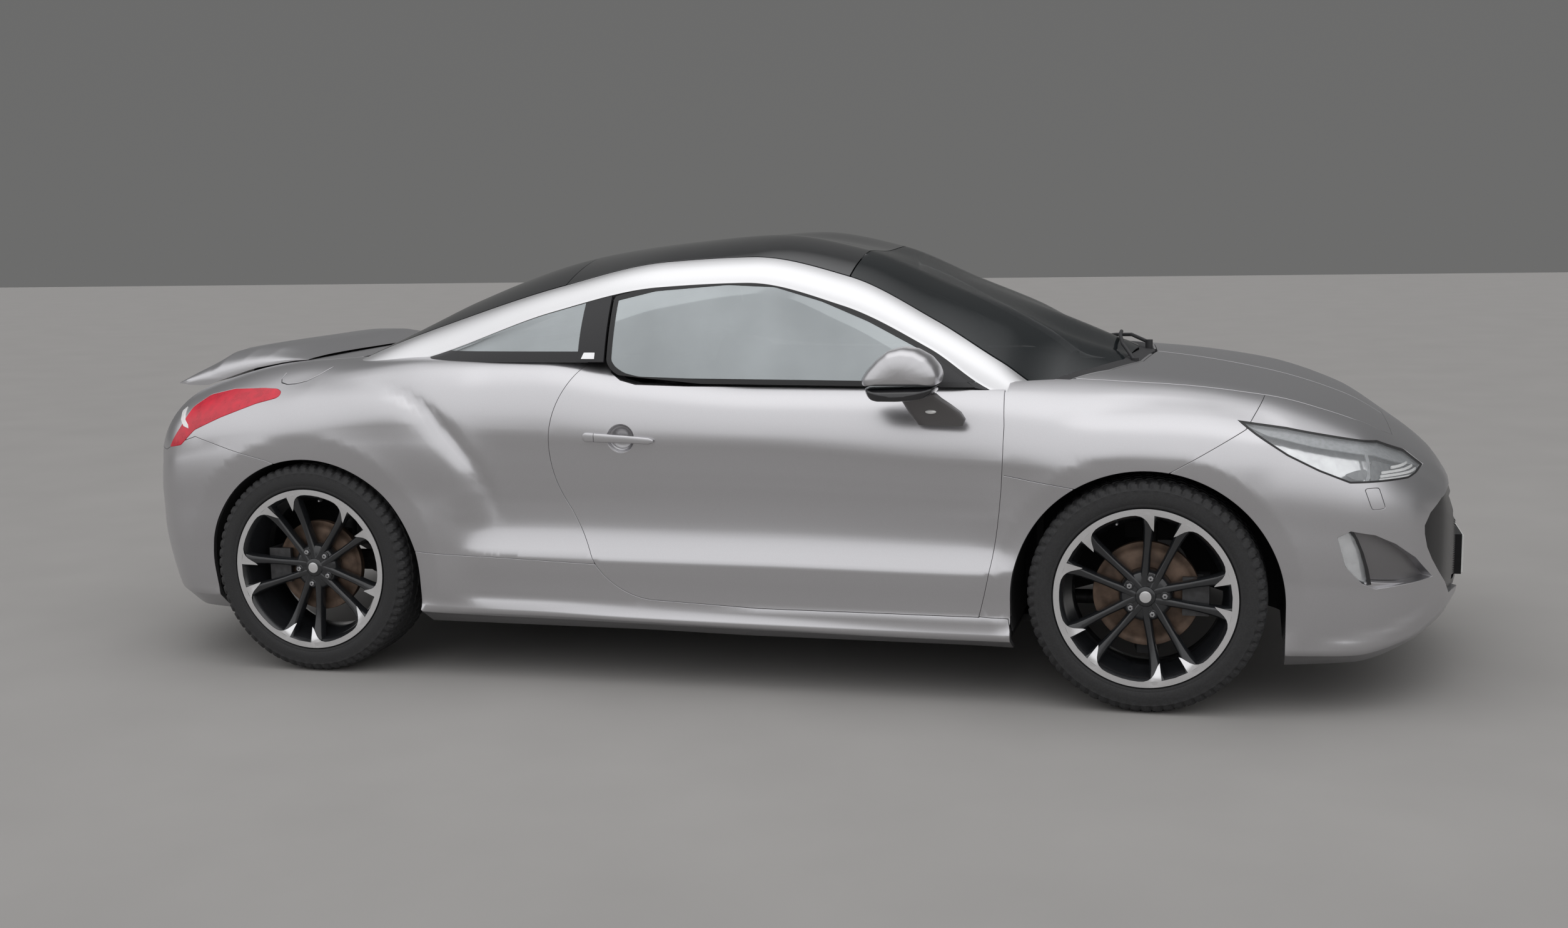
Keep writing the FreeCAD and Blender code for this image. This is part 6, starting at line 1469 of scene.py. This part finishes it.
def wing_section(y):
    """The wing's section at a place across: the outline thinned and drawn back towards the tips."""
    t = abs(y) / WING_HALF
    share = math.sqrt(max(0.0, 1 - t ** 7))
    line = wing.copy()
    line[:, 0] = WING_NOSE - 60 * t ** 2 + (line[:, 0] - WING_NOSE) * (1 - 0.10 * t ** 2)
    base = np.interp(line[:, 0], *zip(*WING_BASE))
    line[:, 1] = base + (line[:, 1] - base) * (0.35 + 0.65 * share) - 14 * t ** 4
    rise = np.interp(line[:, 0], *zip(*WING_RISE))
    rise *= 1 - soft_step((t - 0.8) / 0.12)
    line[:, 1] += rise * (line[:, 1] > base + 6)
    return np.c_[line[:, 0], np.full(len(line), y), line[:, 1]]


STAND = np.array(((-1820, 905), (-1640, 940), (-1640, 972), (-1820, 950)))
STAND_Y, STAND_HALF = 430, 9
parts = [loft([wing_section(y) for y in WING_Y + tuple(-y for y in WING_Y[-2::-1])]) + (0,)]
for y in (-STAND_Y, STAND_Y):
    sides = [np.c_[STAND[:, 0], np.full(4, y + d), STAND[:, 1]] for d in (-STAND_HALF, STAND_HALF)]
    parts.append(loft(sides) + (1,))
verts, faces, slots = joined(parts)
plain(
    "spoiler_skin", verts, faces, [paint, trim_black], "tailgate", ["spoiler"], slots, 40.0, middle=True,
    slot="body_paint",
)

CAP_AT, CAP_THICK = -2126.0, 6.0
edge = body.column(CAP_AT)
cap = np.vstack([edge[:, 1:], (edge * (1, -1, 1))[::-1][1:-1, 1:]])
cap = cap[np.r_[True, np.linalg.norm(np.diff(cap, axis=0), axis=1) > 1.0]]
cap = (cap - cap.mean(0)) * 0.994 + cap.mean(0)
cap_verts, cap_faces = sheet_of(cap, lambda u, v: 0 * u, CAP_THICK)[:2]
cap_verts = cap_verts[:, [2, 0, 1]] + (CAP_AT, 0, 0)
plain("rear_cap", cap_verts, cap_faces, [paint], "car", angle=30.0, middle=True)

# Padded seats: lofts with rounded corners and raised sides

seat_cloth = grained("seat_leather", (0.030, 0.029, 0.030), 0.0, 0.55, 180.0, 0.25, 0.3, 0.0012)
# Share of a cushion's half width where its raised side starts, with a sewn groove
SIDE_SEAM = 0.52


def padded_block(line, middle, half, thick, bolster, corner=0.5):
    """Cushion along an x, z line: rounded sections across, with raised sides and sewn grooves."""
    line = np.array(line, float)
    walk = np.r_[0, np.cumsum(np.linalg.norm(np.diff(line, axis=0), axis=1))]

    def place_at(d):
        d = min(max(d, 0), walk[-1])
        return np.interp(d, walk, line[:, 0]), np.interp(d, walk, line[:, 1])

    rings = []
    for t in np.linspace(0, 1, 25):
        d = t * walk[-1]
        x, z = place_at(d)
        ahead, back = place_at(d + 1.0), place_at(d - 1.0)
        tx, tz = ahead[0] - back[0], ahead[1] - back[1]
        n = math.hypot(tx, tz)
        nx, nz = -tz / n, tx / n
        round_off = min(1.0, math.sqrt(max(0.0, min(t, 1 - t)) / 0.10) + 0.05)
        ring = []
        for a in np.linspace(0, 2 * math.pi, 40, endpoint=False):
            c, s = math.cos(a), math.sin(a)
            across = half * math.copysign(abs(c) ** corner, c) * (0.86 + 0.14 * round_off)
            up_by = thick / 2 * math.copysign(abs(s) ** 0.6, s) * round_off
            edge = abs(across) / half
            if s > 0:
                up_by += bolster * soft_step((edge - SIDE_SEAM) / 0.3) * round_off * (s ** 0.4)
                up_by -= 5.0 * math.exp(-(((edge - SIDE_SEAM) / 0.05) ** 2)) * round_off
                up_by -= 3.0 * math.exp(-(((t * 6) % 1 - 0.5) / 0.09) ** 2) * (edge < 0.5) * round_off
            ring.append((x + nx * up_by, middle + across, z + nz * up_by))
        rings.append(np.array(ring))
    return loft(rings)


SEAT_BASE = ((395, 345), (372, 385), (300, 400), (150, 385), (20, 372), (-80, 372))
SEAT_BACK = ((-80, 420), (-130, 500), (-190, 680), (-240, 860), (-262, 960))
SEAT_HEAD = ((-262, 985), (-276, 1040), (-288, 1108))
REAR_BASE = ((-452, 352), (-500, 378), (-640, 368), (-770, 352))
REAR_BACK = ((-800, 420), (-845, 560), (-895, 740), (-935, 880))


# Each cushion: name, its line, distance from the middle, half width, thickness, rise of its sides, corner
CUSHIONS = (
    ("front_seat", SEAT_BASE, 370, 240, 92, 34, 0.5), ("front_back", SEAT_BACK, 370, 232, 100, 30, 0.45),
    ("front_rest", SEAT_HEAD, 370, 122, 84, 0, 0.5), ("rear_seat", REAR_BASE, 292, 262, 84, 18, 0.5),
    ("rear_back", REAR_BACK, 292, 258, 92, 14, 0.5),
)
for name, *form in CUSHIONS:
    for item in plain(name, *padded_block(*form), [seat_cloth], "car", ["seats"], angle=60.0):
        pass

# Finishes of the solids that show as they are

under_black = grained("underbody", (0.03, 0.03, 0.032), 0.2, 0.7, 60.0, 0.2)
steel_dark = grained("suspension_steel", (0.07, 0.07, 0.072), 0.6, 0.5, 50.0, 0.25)
alloy_grey = grained("engine_alloy", (0.32, 0.32, 0.33), 0.7, 0.5, 30.0, 0.15)
plate_white = grained("plate_white", (0.80, 0.80, 0.78), 0.0, 0.35, 40.0, 0.03)
cabin_black = grained("cabin_black", (0.02, 0.02, 0.022), 0.0, 0.7, 200.0, 0.25, 0.3, 0.0008)
NODE_FINISH = {
    "wheel_liners": liner_black, "floor_pan": under_black, "rear_axle": steel_dark,
    "front_frame": under_black,
    "engine_block": alloy_grey, "exhaust": steel_dark, "knuckle_right": steel_dark,
    "knuckle_left": steel_dark,
    "tailgate_arms": steel_dark, "number_plates": plate_white, "dashboard": cabin_black,
    "grille": grille_black,
    "cowl": trim_black, "steering_wheel": cabin_black,
}
for name, finish in NODE_FINISH.items():
    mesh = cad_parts[name].data
    mesh.materials.clear()
    mesh.materials.append(finish)

# Camera, light and floor

CAMERA_AT = (1.49862, -5.81438, 1.43445)
YAW, PITCH, ROLL = 0.2599, 0.14341, 0.02011
# Focal length and width of the picture in its own pixels, and the width that a lens is given for
FOCAL, FRAME_WIDE, SENSOR = 2800.0, 2507.0, 36.0
FLOOR_HALF = 30.0


def place_camera():
    """Camera where the photograph was taken from."""
    ahead = Vector((-math.sin(YAW) * math.cos(PITCH), math.cos(YAW) * math.cos(PITCH), -math.sin(PITCH)))
    right = Vector((math.cos(YAW), math.sin(YAW), 0))
    down = ahead.cross(right)
    turned_right = math.cos(ROLL) * right + math.sin(ROLL) * down
    turned_down = -math.sin(ROLL) * right + math.cos(ROLL) * down
    data = bpy.data.cameras.new("camera")
    data.sensor_width = SENSOR
    data.lens = SENSOR * FOCAL / FRAME_WIDE
    data.clip_end = 200.0
    item = bpy.data.objects.new("camera", data)
    axes = Matrix((turned_right, -turned_down, -ahead)).transposed().to_4x4()
    item.matrix_world = Matrix.Translation(CAMERA_AT) @ axes
    bpy.context.scene.collection.objects.link(item)
    bpy.context.scene.camera = item


def area_light(name, place, target, size, power):
    """Rectangular lamp at a place, turned to a target."""
    data = bpy.data.lights.new(name, "AREA")
    data.shape = "RECTANGLE"
    data.size, data.size_y = size
    data.energy = power
    item = bpy.data.objects.new(name, data)
    way = Vector(target) - Vector(place)
    item.matrix_world = Matrix.Translation(place) @ way.to_track_quat("-Z", "Y").to_matrix().to_4x4()
    bpy.context.scene.collection.objects.link(item)


# Sky levels by height: over the near side, open sky, and over the far side, a dark bank under sky
SKY_NEAR = ((0.0, (0.34, 0.33, 0.32)), (0.06, (0.50, 0.50, 0.50)), (0.12, 0.92), (0.5, 1.05), (1.0, 1.1))
SKY_FAR = ((0.0, (0.15, 0.15, 0.148)), (0.56, (0.14, 0.14, 0.14)), (0.74, 0.80), (1.0, 1.0))
SKY_BLEND = (-0.15, 0.25)


def sky_ramp(tree, height, stops):
    """Colour by height; a stop's single level is a faintly blue grey."""
    ramp = tree.nodes.new("ShaderNodeValToRGB")
    elements = ramp.color_ramp.elements
    for n, (position, colour) in enumerate(stops):
        element = elements[n] if n < 2 else elements.new(position)
        element.position = position
        element.color = (*colour, 1) if isinstance(colour, tuple) else (colour, colour, colour * 1.01, 1)
    tree.links.new(height, ramp.inputs["Fac"])
    return ramp.outputs["Color"]


def make_world():
    """Sky whose two sides blend across the car."""
    world = bpy.data.worlds.new("world")
    bpy.context.scene.world = world
    world.use_nodes = True
    tree = world.node_tree
    back = tree.nodes["Background"]
    place = tree.nodes.new("ShaderNodeTexCoord")
    split = tree.nodes.new("ShaderNodeSeparateXYZ")
    tree.links.new(place.outputs["Generated"], split.inputs[0])
    reach = tree.nodes.new("ShaderNodeMapRange")
    reach.inputs["From Min"].default_value, reach.inputs["From Max"].default_value = SKY_BLEND
    tree.links.new(split.outputs["Y"], reach.inputs["Value"])
    blend = tree.nodes.new("ShaderNodeMix")
    blend.data_type = "RGBA"
    tree.links.new(reach.outputs["Result"], blend.inputs["Factor"])
    tree.links.new(sky_ramp(tree, split.outputs["Z"], SKY_NEAR), blend.inputs["A"])
    tree.links.new(sky_ramp(tree, split.outputs["Z"], SKY_FAR), blend.inputs["B"])
    tree.links.new(blend.outputs["Result"], back.inputs["Color"])
    back.inputs["Strength"].default_value = 1.0


def make_floor():
    """Plain ground."""
    mesh = bpy.data.meshes.new("floor")
    corners = [(u * FLOOR_HALF, v * FLOOR_HALF, 0) for u, v in ((-1, -1), (1, -1), (1, 1), (-1, 1))]
    mesh.from_pydata(corners, [], [(0, 1, 2, 3)])
    floor = bpy.data.objects.new("floor", mesh)
    bpy.context.scene.collection.objects.link(floor)
    mesh.materials.append(grained("floor_grey", (0.34, 0.33, 0.32), 0.0, 0.85, 2.0, 0.03))


place_camera()
make_world()
area_light("overhead", (0.2, -1.0, 5.0), (0, 0, 0.8), (6.0, 4.0), 30)
make_floor()
bpy.context.scene.view_settings.view_transform = "Standard"
